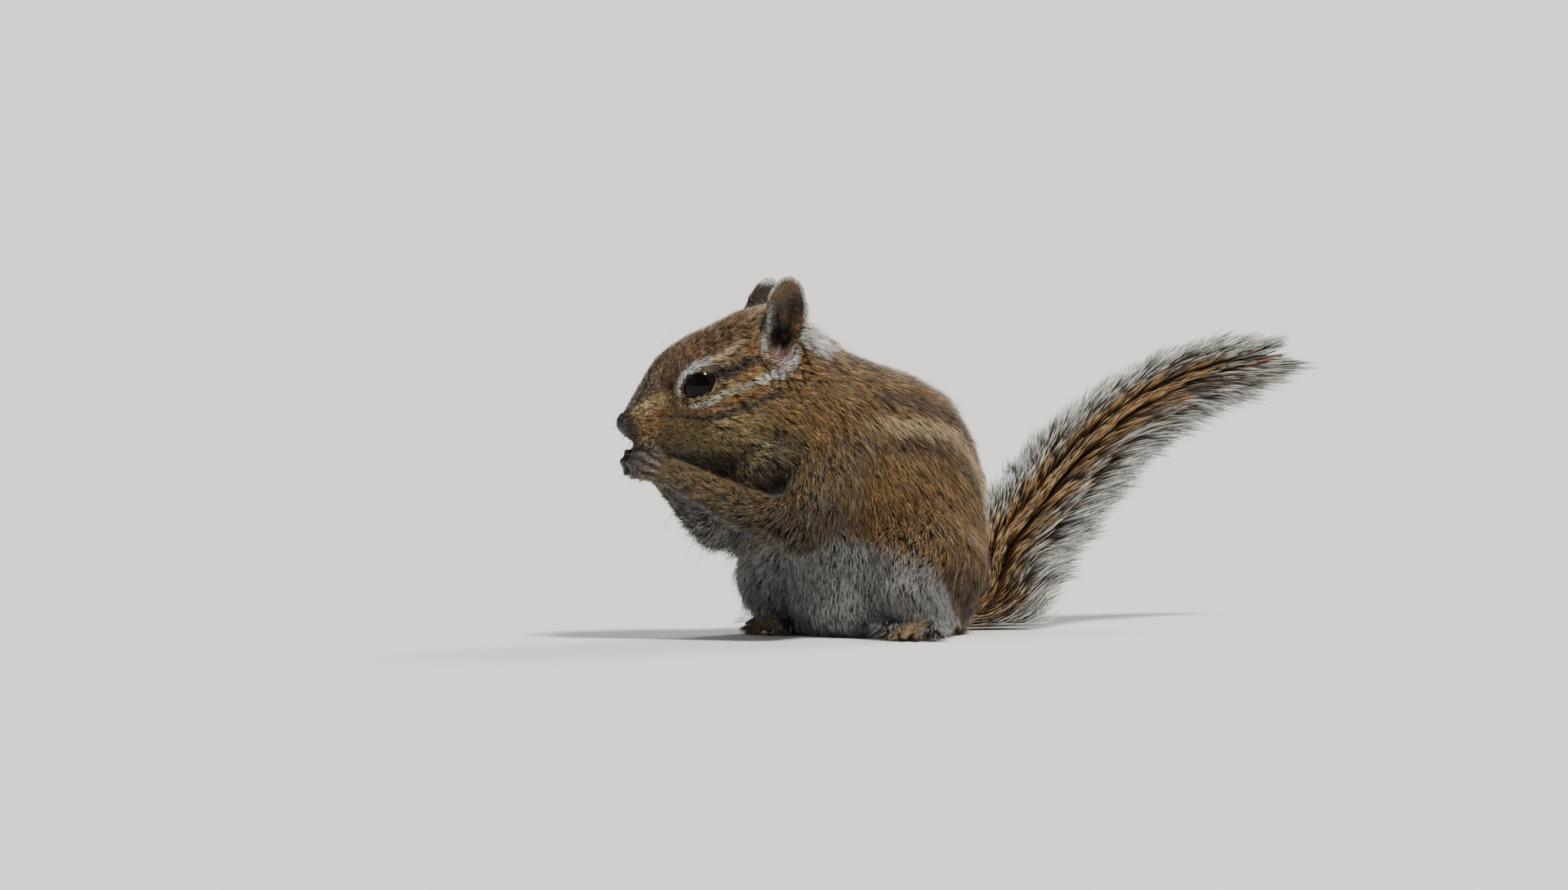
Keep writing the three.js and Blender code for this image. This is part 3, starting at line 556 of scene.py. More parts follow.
# Markings. Each colour of the pelage has a root, a middle and a tip, in percent of red, green and blue. A
# place gets a share of each colour, and the skin takes the mean where every tuft takes one of them.
COLOURS = {
    "brown": ((12, 9, 7), (32, 24, 16), (48, 37, 25)),
    "ochre": ((14, 11, 8), (49, 35, 19), (80, 65, 43)),
    "olive": ((13, 11, 8), (43, 35, 22), (75, 67, 47)),
    "dark": ((9, 8, 7), (16, 13, 12), (20, 18, 18)),
    "cream": ((24, 20, 15), (72, 61, 45), (94, 87, 73)),
    "white": ((45, 43, 41), (86, 85, 83), (97, 97, 96)),
    "rust": ((13, 9, 6), (47, 29, 14), (70, 48, 27)),
    "grey": ((13, 13, 13), (41, 41, 41), (96, 96, 96)),
    "sand": ((30, 25, 18), (66, 55, 38), (82, 74, 58)),
    "paw": ((16, 13, 12), (46, 41, 38), (78, 73, 70)),
    "shaggy": ((6, 5, 4), (17, 14, 10), (78, 71, 56)),
    # near black brown: the real dark of the nose tip, crown, fingertips and ear backs, and also painted shade
    # low on the trunk, legs and arms, under the chin and cheek, and between the fingers
    "blackish_and_shade": ((8, 6, 5), (17, 13, 10), (24, 18, 13)),
    "tan": ((24, 19, 13), (55, 45, 32), (72, 63, 48)),
    "bare": ((10, 7.5, 6.5), (13, 9.5, 8), (16, 11, 10)),
    "ear_skin": ((20, 15, 12), (42, 32, 21), (60, 48, 33)),
    # near black: painted shade in the ear's canal
    "hollow": ((3, 2, 2), (4, 3, 3), (5, 3, 3)),
    "pink": ((40, 27, 26), (45, 32, 31), (50, 38, 36)),
}
COLOUR_NAMES = list(COLOURS)


def as_light(stops):
    """Amounts of light of colours in percent, as a painter mixes them: the 2.2th power of their shares."""
    return (np.array(stops) / 100) ** 2.2


COLOUR_STOPS = as_light([COLOURS[name] for name in COLOUR_NAMES])

# Stripes of the head: distance behind the nose, height and half width in the head's axes, both sides.
BROW_WHITE = [(12.2, 4.4, 0.35), (13.0, 6.7, 0.75), (15.0, 8.6, 0.95), (17.4, 9.5, 0.9), (20.4, 9.5, 0.7)]
BROW_TRAIL = [(20.4, 9.4, 0.7), (23.2, 10.2, 0.75), (25.3, 11.0, 0.65), (28, 12.4, 0.3)]
EYE_DARK = [(20, 6, 1.2), (22.6, 6.6, 1.4), (26, 7.4, 1.2), (29, 8.0, 0.8)]
UNDER_OCHRE = [(20.8, 4.2, 0.6), (24, 4.6, 0.7), (28.4, 5.2, 0.8)]
UNDER_WHITE = [(14, 1.2, 0.2), (15.5, 1.1, 0.5), (18.3, 1.7, 0.65), (20.8, 2.5, 0.5), (24.4, 3.2, 0.4)]
UNDER_WHITE.append((30, 3.8, 0.7))
RUST_EDGE = [(8, 1.4, 0.5), (12.6, 0.7, 0.6), (17, -0.2, 0.7), (22.6, 0.6, 0.7), (29, 1.2, 0.5)]
CHEEK_DARK = [(9.5, 0.2, 0.3), (12.6, -0.4, 0.5), (15.7, -1.5, 0.6), (19, -1.7, 0.8), (25, -0.9, 0.8)]
CHEEK_DARK.append((31, 0.1, 0.6))
MUZZLE_SAND = [(2.8, 2, 0.8), (6, 2.7, 1.4), (9.5, 4, 1.0)]
EAR_RUST = [(28.2, 7, 1.5), (29.4, 10.5, 1.4)]
EAR_WHITE = [(30, 4.0, 0.7), (33.6, 4.2, 1.1), (36.8, 5.8, 0.9)]
NAPE_WHITE = [(37.6, 15.4, 1.9), (40.4, 12.8, 2.9), (42.8, 9.8, 3.2), (45.0, 6.6, 2.4)]
MOUTH = [(1.6, -3.4, 0.15), (4.2, -4.9, 0.2), (7.4, -6.2, 0.1)]
# Painted shadow that the chin casts on the throat: distance behind the nose, height and half width.
CHIN_SHADOW = [(11, -9, 0.8), (15, -11, 2.6), (20, -12.4, 2.2), (25, -13.8, 0.8)]
FACE_STRIPES = [  # colour, strength, softness of the edge and line, in the order they are painted
    ("rust", 0.85, 0.7, EAR_RUST),
    ("rust", 0.75, 0.6, RUST_EDGE),
    ("dark", 0.85, 0.6, CHEEK_DARK),
    ("dark", 0.9, 0.6, EYE_DARK),
    ("ochre", 0.9, 0.5, UNDER_OCHRE),
    ("white", 1.0, 0.45, BROW_WHITE),
    ("cream", 0.85, 0.5, BROW_TRAIL),
    ("cream", 0.85, 0.5, UNDER_WHITE),
]
# Distance behind the nose and height where the brown of the crown begins and where the chin ends.
BROW_LINE = [(0, 1.5), (5, 4.2), (13, 6.3), (20, 9.5), (28, 12.0), (40, 12.5)]
CHIN_LINE = [(0, 4.0), (8, 6.0), (20, 9.8), (35, 11.5)]
# Stripes of the back: distance behind the nose, degrees from the midline and half width in degrees.
MID_DARK = [(40, 12, 5), (43.5, 22, 10), (47, 18, 8), (51, 6, 8), (60, 0, 7), (128, 0, 6)]
INNER_DARK = [(44, 60, 3), (51, 56, 5), (55.6, 53, 6), (58.6, 46, 6), (63, 38, 5.5), (80, 27, 5)]
INNER_DARK.append((128, 14, 4))
BACK_CREAM = [(46, 82, 3), (51, 78, 6), (55, 74, 7), (58, 65, 7), (61, 54, 6.5), (66, 47, 6), (84, 37, 5.5)]
BACK_CREAM.append((128, 23, 4.5))
OUTER_DARK = [(50, 94, 5), (54, 89, 6), (57.6, 82, 5.5), (61, 68, 5), (66, 59, 5), (84, 48, 5), (128, 33, 4)]
BACK_STRIPES = [("dark", 0.75, INNER_DARK), ("dark", 0.6, OUTER_DARK), ("cream", 0.95, BACK_CREAM)]
STRIPE_WANDER = 1.8  # degrees
# Grey front of the shin: distance ahead in the axes of the pelvis and the height it reaches.
SHIN_GREY = [(-3, 0.3), (-2, 1.4), (2, 4.6), (5, 8.8), (10, 12.6), (14, 15.4), (20, 17)]
# Edge of the grey belly: distance behind the nose and degrees from the midline of the back.
BELLY_EDGE = [(20, 140), (45, 150), (60, 158), (70, 158), (77, 135), (79, 124), (86, 116), (130, 112)]
FINGER_FURROWS = (1.85, 0.05, -1.75)  # places across the back of the hand
EAR_BACK, EAR_TALL, EAR_DROP = 4.3, 9.2, 0.3  # half width and height of the ear's oval, and its drop


def near_line(x, y, line, soft):
    """1 inside a band, 0 outside: the step of its half width less the distance to its middle line."""
    depth = np.full(len(x), -1e3)
    for low, high in pairwise(np.array(line, float)):
        run = high - low
        along = np.clip(((x - low[0]) * run[0] + (y - low[1]) * run[1]) / (run[0] ** 2 + run[1] ** 2), 0, 1)
        gap = np.hypot(x - low[0] - along * run[0], y - low[1] - along * run[1])
        depth = np.maximum(depth, low[2] + along * run[2] - gap)
    return step(depth, soft)


def along_back(run, turned, line, soft):
    """The same for a stripe that runs down the back, measured in degrees across it."""
    runs, middles, halves = zip(*line)
    middle, half = np.interp(run, runs, middles), np.interp(run, runs, halves)
    return step(half - np.abs(np.abs(turned) - middle), soft)


def wandering_place(points):
    """Distance behind the nose, degrees round the body, and a sum of sines of the place by which those
    degrees wander, for the stripes' edges."""
    run, turned = on_body(points)
    x, y, z = points.T
    ripple = np.sin(1.1 * x + 1.3 * np.sin(0.9 * z) + y) + np.sin(2.3 * z - 1.7 * y + 0.6 * x)
    return run, turned + STRIPE_WANDER * ripple, ripple


def in_hand_frame(points, weights, side):
    """Distances ahead of the knuckles and across the back of a hand, and 1 for the places on that hand."""
    knuckles, ahead, _, spread = hand_frame(side)
    arm = points - knuckles
    return arm @ ahead, arm @ spread, on_part(weights, "hand") * step(6 - gap_to(points, knuckles), 1)


def ear_oval(back, tall):
    """Distance from the middle of an ear's mouth as a share of the way to its edge."""
    return np.hypot(back / EAR_BACK, (tall + EAR_DROP) / EAR_TALL)


def trunk_layers(points, weights):
    """Colours of trunk and thighs: brown and ochre, the stripes down the back, the grey belly and shins, and
    painted shade, browner and near black, towards the floor. The stripes hold on the back and fade to the
    neck and sides."""
    run, turned, ripple = wandering_place(points)
    height = points[:, 2]
    everywhere = np.ones(len(points))
    trunk = kind_share(weights, "nape", "back")
    leg = kind_share(weights, "thigh", "shin")
    on_back = trunk + kind_share(weights, "thigh")
    fade = step(run - 47, 6) * step(on_back - 0.4, 0.3)
    fade = fade * (0.8 + 0.14 * np.sin(0.8 * run + ripple))
    yield "ochre", everywhere
    yield "brown", 0.35 * everywhere
    yield "brown", 0.5 * step(32 - np.abs(turned), 14) * fade
    yield "dark", 0.8 * along_back(run, turned, MID_DARK, 4) * step(run - 42, 5)
    for colour, strength, line in BACK_STRIPES:
        yield colour, strength * along_back(run, turned, line, 4) * fade
    # painted shade: the legs browner towards the floor
    yield "brown", 0.45 * leg * step(16 - height, 8)
    ahead = (points - in_pelvis(0, 0, 0)) @ PELVIS_AXES[0]
    front = step(np.interp(ahead, *zip(*SHIN_GREY)) - height, 2.6) * step(trunk + leg - 0.4, 0.3)
    under = step(np.abs(turned) - np.interp(run, *zip(*BELLY_EDGE)), 14)
    yield "grey", under * step(trunk - 0.35, 0.25)
    yield "grey", 0.95 * front
    # painted shade: near black low on the back and thighs, towards the floor
    yield "blackish_and_shade", 0.8 * on_back * (1 - front) * (1 - under) * step(12 - height, 9)


def limb_layers(points, weights, normals):
    """Colours of arms, throat, legs and paws: shaggy, with painted shade deep under the cheek, low on the
    arms and on the throat under the chin, a painted light on the forearms' upper side, grey where they face
    the body's middle, and painted shade in the furrows between the fingers."""
    turned = wandering_place(points)[1]
    behind, aside, up = in_head_frame(points)
    arm, forearm = kind_share(weights, "arm", "forearm"), kind_share(weights, "forearm")
    throat = kind_share(weights, "throat")
    yield "brown", 0.3 * arm
    yield "olive", 0.6 * forearm
    yield "shaggy", 0.55 * arm + 0.2 * forearm
    # painted light: ochre on the forearm's upper side, where it faces up
    yield "ochre", 0.4 * forearm * step(normals[:, 2] - 0.1, 0.4)
    # painted shade: near black low on the arms, under the elbows
    yield "blackish_and_shade", 0.8 * arm * step(27 - points[:, 2], 6)
    yield "grey", 0.5 * throat
    yield "shaggy", 0.6 * throat
    # painted shadow of the chin on the throat
    yield "blackish_and_shade", 0.9 * step(7 - gap_to(points, in_head(21, 0, -10)), 3)
    from_pad = gap_to(np.stack([behind, np.abs(aside), up], 1), CHEEK_PAD)
    yield "shaggy", 0.8 * step(9.5 - from_pad, 2.5) * step(-6.5 - up, 3)
    # painted shade: near black deep under the cheek pad
    yield "blackish_and_shade", 0.6 * step(8.5 - from_pad, 2.5) * step(-10 - up, 3.5)
    yield "grey", 0.6 * kind_share(weights, "thigh", "shin") * step(np.abs(turned) - 140, 15)
    to_middle = normals @ CHEST_AXES[1] * np.where(on_left_limb[weights.argmax(1)], -1, 1)
    yield "grey", 0.7 * arm * step(to_middle - 0.3, 0.4)
    yield "paw", on_part(weights, "hand")
    yield "tan", step(kind_share(weights, "foot") - 0.45, 0.3)
    for side in (1, -1):
        reach, wide, on_hand = in_hand_frame(points, weights, side)
        # painted shade: near black in the furrows between the fingers
        for middle in FINGER_FURROWS:
            furrow = step(0.45 - np.abs(wide - middle * (1 + 0.09 * reach)), 0.22)
            yield "blackish_and_shade", 0.9 * on_hand * furrow * step(reach + 4, 1)
        yield "blackish_and_shade", 0.9 * on_hand * step(reach - 1.7, 0.5)


def head_layers(points, weights):
    """Colours of the head: brown above the brow and shaggy below the chin, the stripes between, the white
    patches by the ears, and the bare nose and lips."""
    behind, aside, up = in_head_frame(points)
    aside = np.abs(aside)
    head = kind_share(weights, "nose", "face", "crown")
    with_neck = head + kind_share(weights, "ear", "nape")
    on_head = step(head - 0.45, 0.25)
    face = step(with_neck - 0.5, 0.3) * step(34 - behind, 3)
    rear = step(with_neck - 0.4, 0.3)
    yield "olive", 0.85 * on_head
    chin = step(-up - np.interp(behind, *zip(*CHIN_LINE)), 2.2)
    yield "shaggy", 0.6 * on_head * chin
    # painted shadow of the chin on the throat
    yield "blackish_and_shade", 0.9 * on_head * near_line(behind, up, CHIN_SHADOW, 1.5)
    yield "grey", 0.6 * on_head * chin * step(12 - behind, 6)
    above_brow = up - np.interp(behind, *zip(*BROW_LINE))
    yield "brown", on_head * step(above_brow, 1.0)
    yield "rust", 0.3 * on_head * step(above_brow, 1.0) * step(behind - 10, 6)
    yield "blackish_and_shade", 0.3 * on_head * step(above_brow - 1.5, 1.5)
    yield "sand", 0.8 * face * near_line(behind, up, MUZZLE_SAND, 0.8)
    yield "rust", 0.6 * face * step(8.5 - behind, 1.5) * step(1.2 - up, 1.5) * step(up + 3, 1.0)
    for colour, strength, soft, line in FACE_STRIPES:
        yield colour, strength * face * near_line(behind, up, line, soft)
    by_eye = 1 - 0.55 * step(behind - 20.5, 2) * step(27 - behind, 3)
    yield "white", 0.75 * by_eye * face * near_line(behind, up, UNDER_WHITE, 0.5)
    yield "white", 0.8 * rear * near_line(behind, up, EAR_WHITE, 0.7)
    yield "white", 0.95 * rear * near_line(behind, up, NAPE_WHITE, 0.8) * step(aside - 5, 2)
    bridge = step(2.0 + 0.12 * behind - aside, 0.8) * step(14 - behind, 3) * step(up - 0.5, 0.5)
    yield "dark", 0.7 * on_head * bridge
    yield "blackish_and_shade", 0.85 * on_head * step(3.3 - behind, 0.8)
    yield "bare", on_head * step(0.9 + 0.06 * (up - 0.6) ** 2 - behind, 0.25) * step(2.2 - behind, 0.3)
    yield "bare", on_head * step(0.75 - np.hypot(behind - 2.5, up + 1.2), 0.2) * step(aside - 0.6, 0.3)
    yield "bare", on_head * near_line(behind, up, MOUTH, 0.2)


def ear_and_tail_layers(points, weights, normals):
    """Colours of the ears, dark outside and brown to pink inside with pale edges, and of the tail's core."""
    ear = on_part(weights, "ear")
    yield "ear_skin", ear
    for side in (1, -1):
        back, tall, out = in_ear_frame(points, side)
        oval = ear_oval(back, tall)
        mine = ear * step(8 - np.abs(out), 1) * step(9 - np.abs(back), 1)
        outer = step(normals @ -ear_axes(side)[2] - 0.1, 0.3)
        inner = mine * (1 - outer)
        yield "brown", 0.7 * inner * step(0.9 - oval, 0.3)
        yield "rust", 0.8 * inner * step(oval - 0.62, 0.2) * step(back + 0.5, 1.5) * step(tall + 2, 2)
        yield "dark", 0.85 * inner * step(1.7 - np.hypot(back - 2.0, (tall - 4.0) / 1.6), 0.8)
        yield "dark", 0.8 * inner * step(1.3 - np.hypot(back + 1.9, (tall - 0.5) / 2.2), 0.7)
        yield "grey", 0.85 * inner * step(-back - 2.4, 0.5) * step(3 - tall, 2)
        yield "blackish_and_shade", 0.95 * mine * outer
        yield "sand", 0.85 * inner * step(oval - 0.93, 0.05) * step(-back - 0.5, 1) * step(7 - tall, 2)
        yield "white", 0.8 * inner * step(oval - 0.96, 0.04) * step(np.maximum(back, tall - 5), 1)
        yield "white", 0.8 * mine * step(oval - 0.83, 0.08) * step(-tall - 4.5, 1)
        yield "white", 0.9 * mine * step(tall - 8.0 - 0.3 * back, 0.6) * outer
        yield "pink", 0.7 * mine * step(1.7 - np.hypot(back - 0.2, (tall + 6.6) / 1.2), 0.6) * step(-out, 1)
        # painted shade: near black in the pit of the ear's canal
        pit = step(2.0 - np.hypot(back + 0.3, (tall + 3.2) / 1.25), 0.5)
        yield "hollow", mine * pit * step(-out - 0.5, 0.5)
    yield "rust", on_part(weights, "tail")


def colour_shares(points, weights, normals):
    """Share of each colour at each place. They are laid on in turn: each takes its amount of a place, and
    all the shares before it are times 1 less that amount."""
    shares = np.zeros((len(points), len(COLOUR_NAMES)))
    for layers in (
        trunk_layers(points, weights),
        limb_layers(points, weights, normals),
        head_layers(points, weights),
        ear_and_tail_layers(points, weights, normals),
    ):
        for name, amount in layers:
            shares *= (1 - amount)[:, None]
            shares[:, COLOUR_NAMES.index(name)] += amount
    return shares


# The skin's colour: thin hide in the colour of the hair's roots, paler on the paws, where more of it
# shows, and darkened by painted shade in the furrows between fingers and toes. It is painted on point by
# point.
ROOT_PART, MIDDLE_PART = 0.8, 0.2
PAW_LIGHT, FURROW_SHADE = 0.8, 0.75


def set_uv(mesh, uv):
    """Gives the mesh its unwrap, one place for each corner."""
    layer = mesh.uv_layers.new(name="OFBake")
    layer.data.foreach_set("uv", uv.astype(np.float32).ravel())


def set_colour(mesh, rgb):
    """Gives the mesh its colour, one for all its points or one for each."""
    layer = mesh.attributes.new("coat", "FLOAT_COLOR", "POINT")
    filled = np.ones((len(mesh.vertices), 4), np.float32)
    filled[:, :3] = rgb
    layer.data.foreach_set("color", filled.ravel())


bpy.context.view_layer.objects.active = skin
skin.select_set(True)
bpy.ops.object.mode_set(mode="EDIT")
bpy.ops.mesh.select_all(action="SELECT")
bpy.ops.mesh.quads_convert_to_tris()
bpy.ops.uv.smart_project(angle_limit=1.3, island_margin=0.002)
bpy.ops.object.mode_set(mode="OBJECT")
skin.data.uv_layers[0].name = "OFBake"
skin_points = points_of(skin.data)
skin_normals = normals_of(skin.data)
skin_weights = bone_weights(skin_points)
skin_shares = colour_shares(skin_points, skin_weights, skin_normals)
on_paw = on_part(skin_weights, "hand", "foot")
hollow = ((points_of(smoothed(skin.data, 14)) - skin_points) * skin_normals).sum(1)
groove = step(hollow - 0.05, 0.07) * on_paw
skin_tone = skin_shares @ (ROOT_PART * COLOUR_STOPS[:, 0] + MIDDLE_PART * COLOUR_STOPS[:, 1])
paw_tone = skin_shares @ COLOUR_STOPS[:, 1]
skin_tone += on_paw[:, None] * (PAW_LIGHT * paw_tone - skin_tone)
# painted shade: darker in the hollows of the paws
set_colour(skin.data, skin_tone * (1 - FURROW_SHADE * groove)[:, None])


def feed(tree, node, given, operation=None):
    """Sets the operation of a node and its inputs, each to a value or to another node's output."""
    if operation:
        node.operation = operation
    for key, value in given.items():
        if isinstance(value, bpy.types.NodeSocket):
            tree.links.new(value, node.inputs[key])
        else:
            node.inputs[key].default_value = value


def grain_group():
    """Group that lightens and darkens a colour by a fine grain, and puts out the grain as a height too.
    The new colour is the old one times a number from 1 - Spread to 1 + Spread."""
    group = bpy.data.node_groups.new("grain", "ShaderNodeTree")
    for name, way, kind in (
        ("Colour", "INPUT", "NodeSocketColor"),
        ("Scale", "INPUT", "NodeSocketFloat"),
        ("Spread", "INPUT", "NodeSocketFloat"),
        ("Colour", "OUTPUT", "NodeSocketColor"),
        ("Height", "OUTPUT", "NodeSocketFloat"),
    ):
        group.interface.new_socket(name, in_out=way, socket_type=kind)
    given, made = group.nodes.new("NodeGroupInput"), group.nodes.new("NodeGroupOutput")
    kinds = ("TexCoord", "TexNoise", "Math", "Math", "VectorMath")
    place, grain, centred, tone, toned = (group.nodes.new("ShaderNode" + kind) for kind in kinds)
    take = given.outputs
    height = grain.outputs["Fac"]
    feed(group, grain, {"Vector": place.outputs["Object"], "Scale": take["Scale"], "Detail": 3.0})
    feed(group, centred, {0: height, 1: 3.0, 2: -1.5}, "MULTIPLY_ADD")
    feed(group, tone, {0: centred.outputs[0], 1: take["Spread"], 2: 1.0}, "MULTIPLY_ADD")
    feed(group, toned, {0: take["Colour"], "Scale": tone.outputs[0]}, "SCALE")
    feed(group, made, {"Colour": toned.outputs["Vector"], "Height": height})
    return group


grain_nodes = grain_group()


def coat_material(name, roughness, scale, spread, bump=0.0):
    """Principled material whose colour is the piece's coat attribute with a grain of scale cells to the
    metre. bump is how far the grain stands out, in metres."""
    material, tree, shader = plain_material(name, (0.5, 0.4, 0.3), roughness)
    colour = tree.nodes.new("ShaderNodeAttribute")
    colour.attribute_name = "coat"
    grain = tree.nodes.new("ShaderNodeGroup")
    grain.node_tree = grain_nodes
    feed(tree, grain, {"Colour": colour.outputs["Color"], "Scale": scale, "Spread": spread})
    feed(tree, shader, {"Base Color": grain.outputs["Colour"]})
    if bump:
        raised = tree.nodes.new("ShaderNodeBump")
        feed(tree, raised, {"Strength": 1.0, "Distance": bump, "Height": grain.outputs["Height"]})
        feed(tree, shader, {"Normal": raised.outputs["Normal"]})
    return material


skin.data.materials.append(coat_material("skin", 0.5, 3500.0, 0.3, 0.0001))
skin.data.shade_smooth()
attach(skin, "root")
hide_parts(*FLESH, "tail_root", "tail_middle", "tail_end")


# Coat: short dense fur. Every tuft is a thin closed blade for a few dozen hairs, with its root under the
# skin, one ring where it is widest and a tip. It lies along the bones it grows over, bends with the body
# and leans to the middle of its clump, so that the coat breaks into locks.
draws = np.random.default_rng(11)
ROOT_SUNK = 0.15
BAKE_PATCH = 0.003
CELL_PRIMES = np.array([73856093, 19349663, 83492791])
CELL_KINDS = 65536
FINE_CLUMP, COARSE_CLUMP = 0.8, 1.5
GUARD_SHARE, GUARD_LONG, GUARD_THIN = 0.06, 1.35, 0.6  # longer, thinner hairs that stand out of the coat
PALE_TIP, PALE_SHARE, DARK_SHARE = np.array([0.72, 0.62, 0.47]), 0.25, 0.28
LIGHTNESS_SPREAD = 0.38
LID_LONG, LID_TALL = 1.3, 0.72  # half width and height of the eye's opening over the eye's radius


def scatter(density):
    """Random roots on the skin, as many on each face as its area times density calls for, and the way out
    and the place in the unwrap there: the means of the face's corners by three random shares."""
    corner = corners_of(skin.data)
    uv = read_all(skin.data.uv_layers["OFBake"].data, "uv", 2).reshape(-1, 3, 2)
    a, b, c = (skin_points[corner[:, i]] for i in range(3))
    area = 0.5 * np.linalg.norm(np.cross(b - a, c - a), axis=1)
    face = np.repeat(np.arange(len(corner)), draws.poisson(area * density[corner].mean(1)))
    r, s = draws.random((2, len(face)))
    root = np.sqrt(r)
    share = np.stack([1 - root, root * (1 - s), root * s], 1)

    def mean_of(values):
        """Mean of each root's three corner values by its shares."""
        return (values[face] * share[:, :, None]).sum(1)

    return mean_of(skin_points[corner]), unit(mean_of(skin_normals[corner])), mean_of(uv)


def cell_draws(points, size):
    """A place in each point's cell of a grid of that size, and a number from 0 to 1, drawn by the cell."""
    cell = np.floor(points / size).astype(np.int64)
    key = (cell * CELL_PRIMES).sum(1) & (CELL_KINDS - 1)
    table = np.random.default_rng(5).random((CELL_KINDS, 4))
    return (cell + 0.2 + 0.6 * table[key, :3]) * size, table[key, 3]


def lay_of(points, normals, weights):
    """Way the hair lies: the mean run of the bones round it with a little droop, flat on the skin, and
    turned aside where it would run over an eye."""
    soft = weights**0.5
    way = soft @ unit(BONE_RUN) / soft.sum(1, keepdims=True)
    droop = kind_share(weights, "back", "arm", "thigh", "nape")
    way[:, 2] -= 0.35 * droop
    for side in (1, -1):
        arm = beside_head(EYE_PLACE, side) - points
        gap = np.linalg.norm(arm, axis=1)
        towards = np.maximum((way * unit(arm)).sum(1), 0) * step(9 - gap, 2.5)
        way -= 1.3 * unit(arm) * towards[:, None]
    way -= normals * (way * normals).sum(1)[:, None]
    return unit(way)


def blades(name, roots, rings, tips, across, thick, half, colours, uv, material):
    """One mesh of closed blades. rings is a list of centres, half a list of half widths, across and thick
    the ways to its edge and ridge, and colours the root's, each ring's and the tip's."""
    count, k = len(roots), len(rings)
    parts = [roots]
    for centre, wide in zip(rings, half):
        wide = wide[:, None]
        parts += [centre - across * wide, centre + thick * wide * 0.5, centre + across * wide]
    parts.append(tips)
    points = np.stack(parts, 1)
    points[:, :, 2] = np.maximum(points[:, :, 2], 0.1)
    size = points.shape[1]
    faces = [(0, 2, 1), (0, 3, 2), (0, 1, 3)]
    for r in range(k - 1):
        low, high = 1 + 3 * r, 4 + 3 * r
        for i in range(3):
            j = (i + 1) % 3
            faces += [(low + i, low + j, high + j), (low + i, high + j, high + i)]
    last = 1 + 3 * (k - 1)
    faces += [(last, last + 1, size - 1), (last + 1, last + 2, size - 1), (last + 2, last, size - 1)]
    one = np.array(faces)
    corners = (one[None] + size * np.arange(count)[:, None, None]).reshape(-1)
    mesh = bpy.data.meshes.new(name)
    mesh.vertices.add(count * size)
    mesh.vertices.foreach_set("co", (points * 0.001).astype(np.float32).ravel())
    mesh.loops.add(len(corners))
    mesh.loops.foreach_set("vertex_index", corners.astype(np.int32))
    mesh.polygons.add(len(corners) // 3)
    mesh.polygons.foreach_set("loop_start", np.arange(0, len(corners), 3, dtype=np.int32))
    mesh.update(calc_edges=True)
    mesh.shade_smooth()
    shade = [colours[0]] + [c for ring in colours[1:-1] for c in (ring,) * 3] + [colours[-1]]
    set_colour(mesh, np.stack(shade, 1).reshape(-1, 3))
    over = [(0.5, 0.0)] + [(x, (r + 1) / (k + 1)) for r in range(k) for x in (0.0, 0.5, 1.0)] + [(0.5, 1.0)]
    patch = uv[:, None] + (np.array(over) - 0.5)[None] * BAKE_PATCH
    set_uv(mesh, np.clip(patch.reshape(-1, 2)[corners], 0, 1))
    mesh.materials.append(material)
    return add_object(name, mesh)


def tuft_colours(shares, count):
    """Colours of each tuft's root, middle and tip: one pelage colour, drawn by the shares of its place and
    mixed with their mean, times a lightness of its own. Some tips are pale and some dark, for the grizzle."""
    pick = (draws.random(count)[:, None] > np.cumsum(shares, 1)).sum(1).clip(0, len(COLOUR_NAMES) - 1)
    mean = np.einsum("nc,ckd->nkd", shares, COLOUR_STOPS)
    stops = 0.75 * COLOUR_STOPS[pick] + 0.25 * mean
    stops = stops * np.exp(draws.normal(0, LIGHTNESS_SPREAD, count))[:, None, None]
    fleck = draws.random(count)[:, None]
    stops[:, 2] = np.where(fleck < PALE_SHARE, 0.4 * stops[:, 2] + 0.6 * PALE_TIP, stops[:, 2])
    stops[:, 2] = np.where(fleck > 1 - DARK_SHARE, 0.3 * stops[:, 2], stops[:, 2])
    return stops


def almond(far):
    """Height of an eye's opening as a share of its full height: 1 behind the middle, and before it 1 less
    0.45 times the 1.5th power of how far it is to the front corner, where far is -1."""
    return 1 - 0.45 * np.clip(-far, 0, 1) ** 1.5


def eye_opening(points, side):
    """1 at the edge of an eye's almond opening, less inside it, more outside, large on its far side: the
    root of the sum of squares of the slants back and up, each over the opening's own."""
    outward, back, lid_up = eye_axes(side)
    arm = points - beside_head(EYE_PLACE, side)
    ahead = np.maximum(arm @ outward, 0.05)
    far = arm @ back / ahead / LID_LONG
    return np.hypot(far, arm @ lid_up / ahead / LID_TALL / almond(far))


fur = coat_material("fur", 0.34, 1500.0, 0.2)
density = skin_weights @ BONE_PELAGE[:, 3]
for side in (1, -1):
    close = gap_to(skin_points, beside_head(EYE_PLACE, side)) < EYE_RADIUS + 2
    density *= np.where(close, step(eye_opening(skin_points, side) - 1.17, 0.1), 1)
for bald in ("bare", "hollow", "pink"):
    density *= 1 - skin_shares[:, COLOUR_NAMES.index(bald)]
density *= step(skin_points[:, 2] - 0.7, 0.2) * (1 - groove)
for side in (1, -1):
    reach, _, on_hand = in_hand_frame(skin_points, skin_weights, side)
    density *= 1 - on_hand * step(reach - 1.2, 0.5)
roots, normals, uv = scatter(density)
weights = bone_weights(roots)
body = weights @ BONE_PELAGE
depth, length, half = body[:, 0], body[:, 1], body[:, 2]
lay = lay_of(roots, normals, weights)
kind = BONE_KINDS[weights.argmax(1)]
count = len(roots)
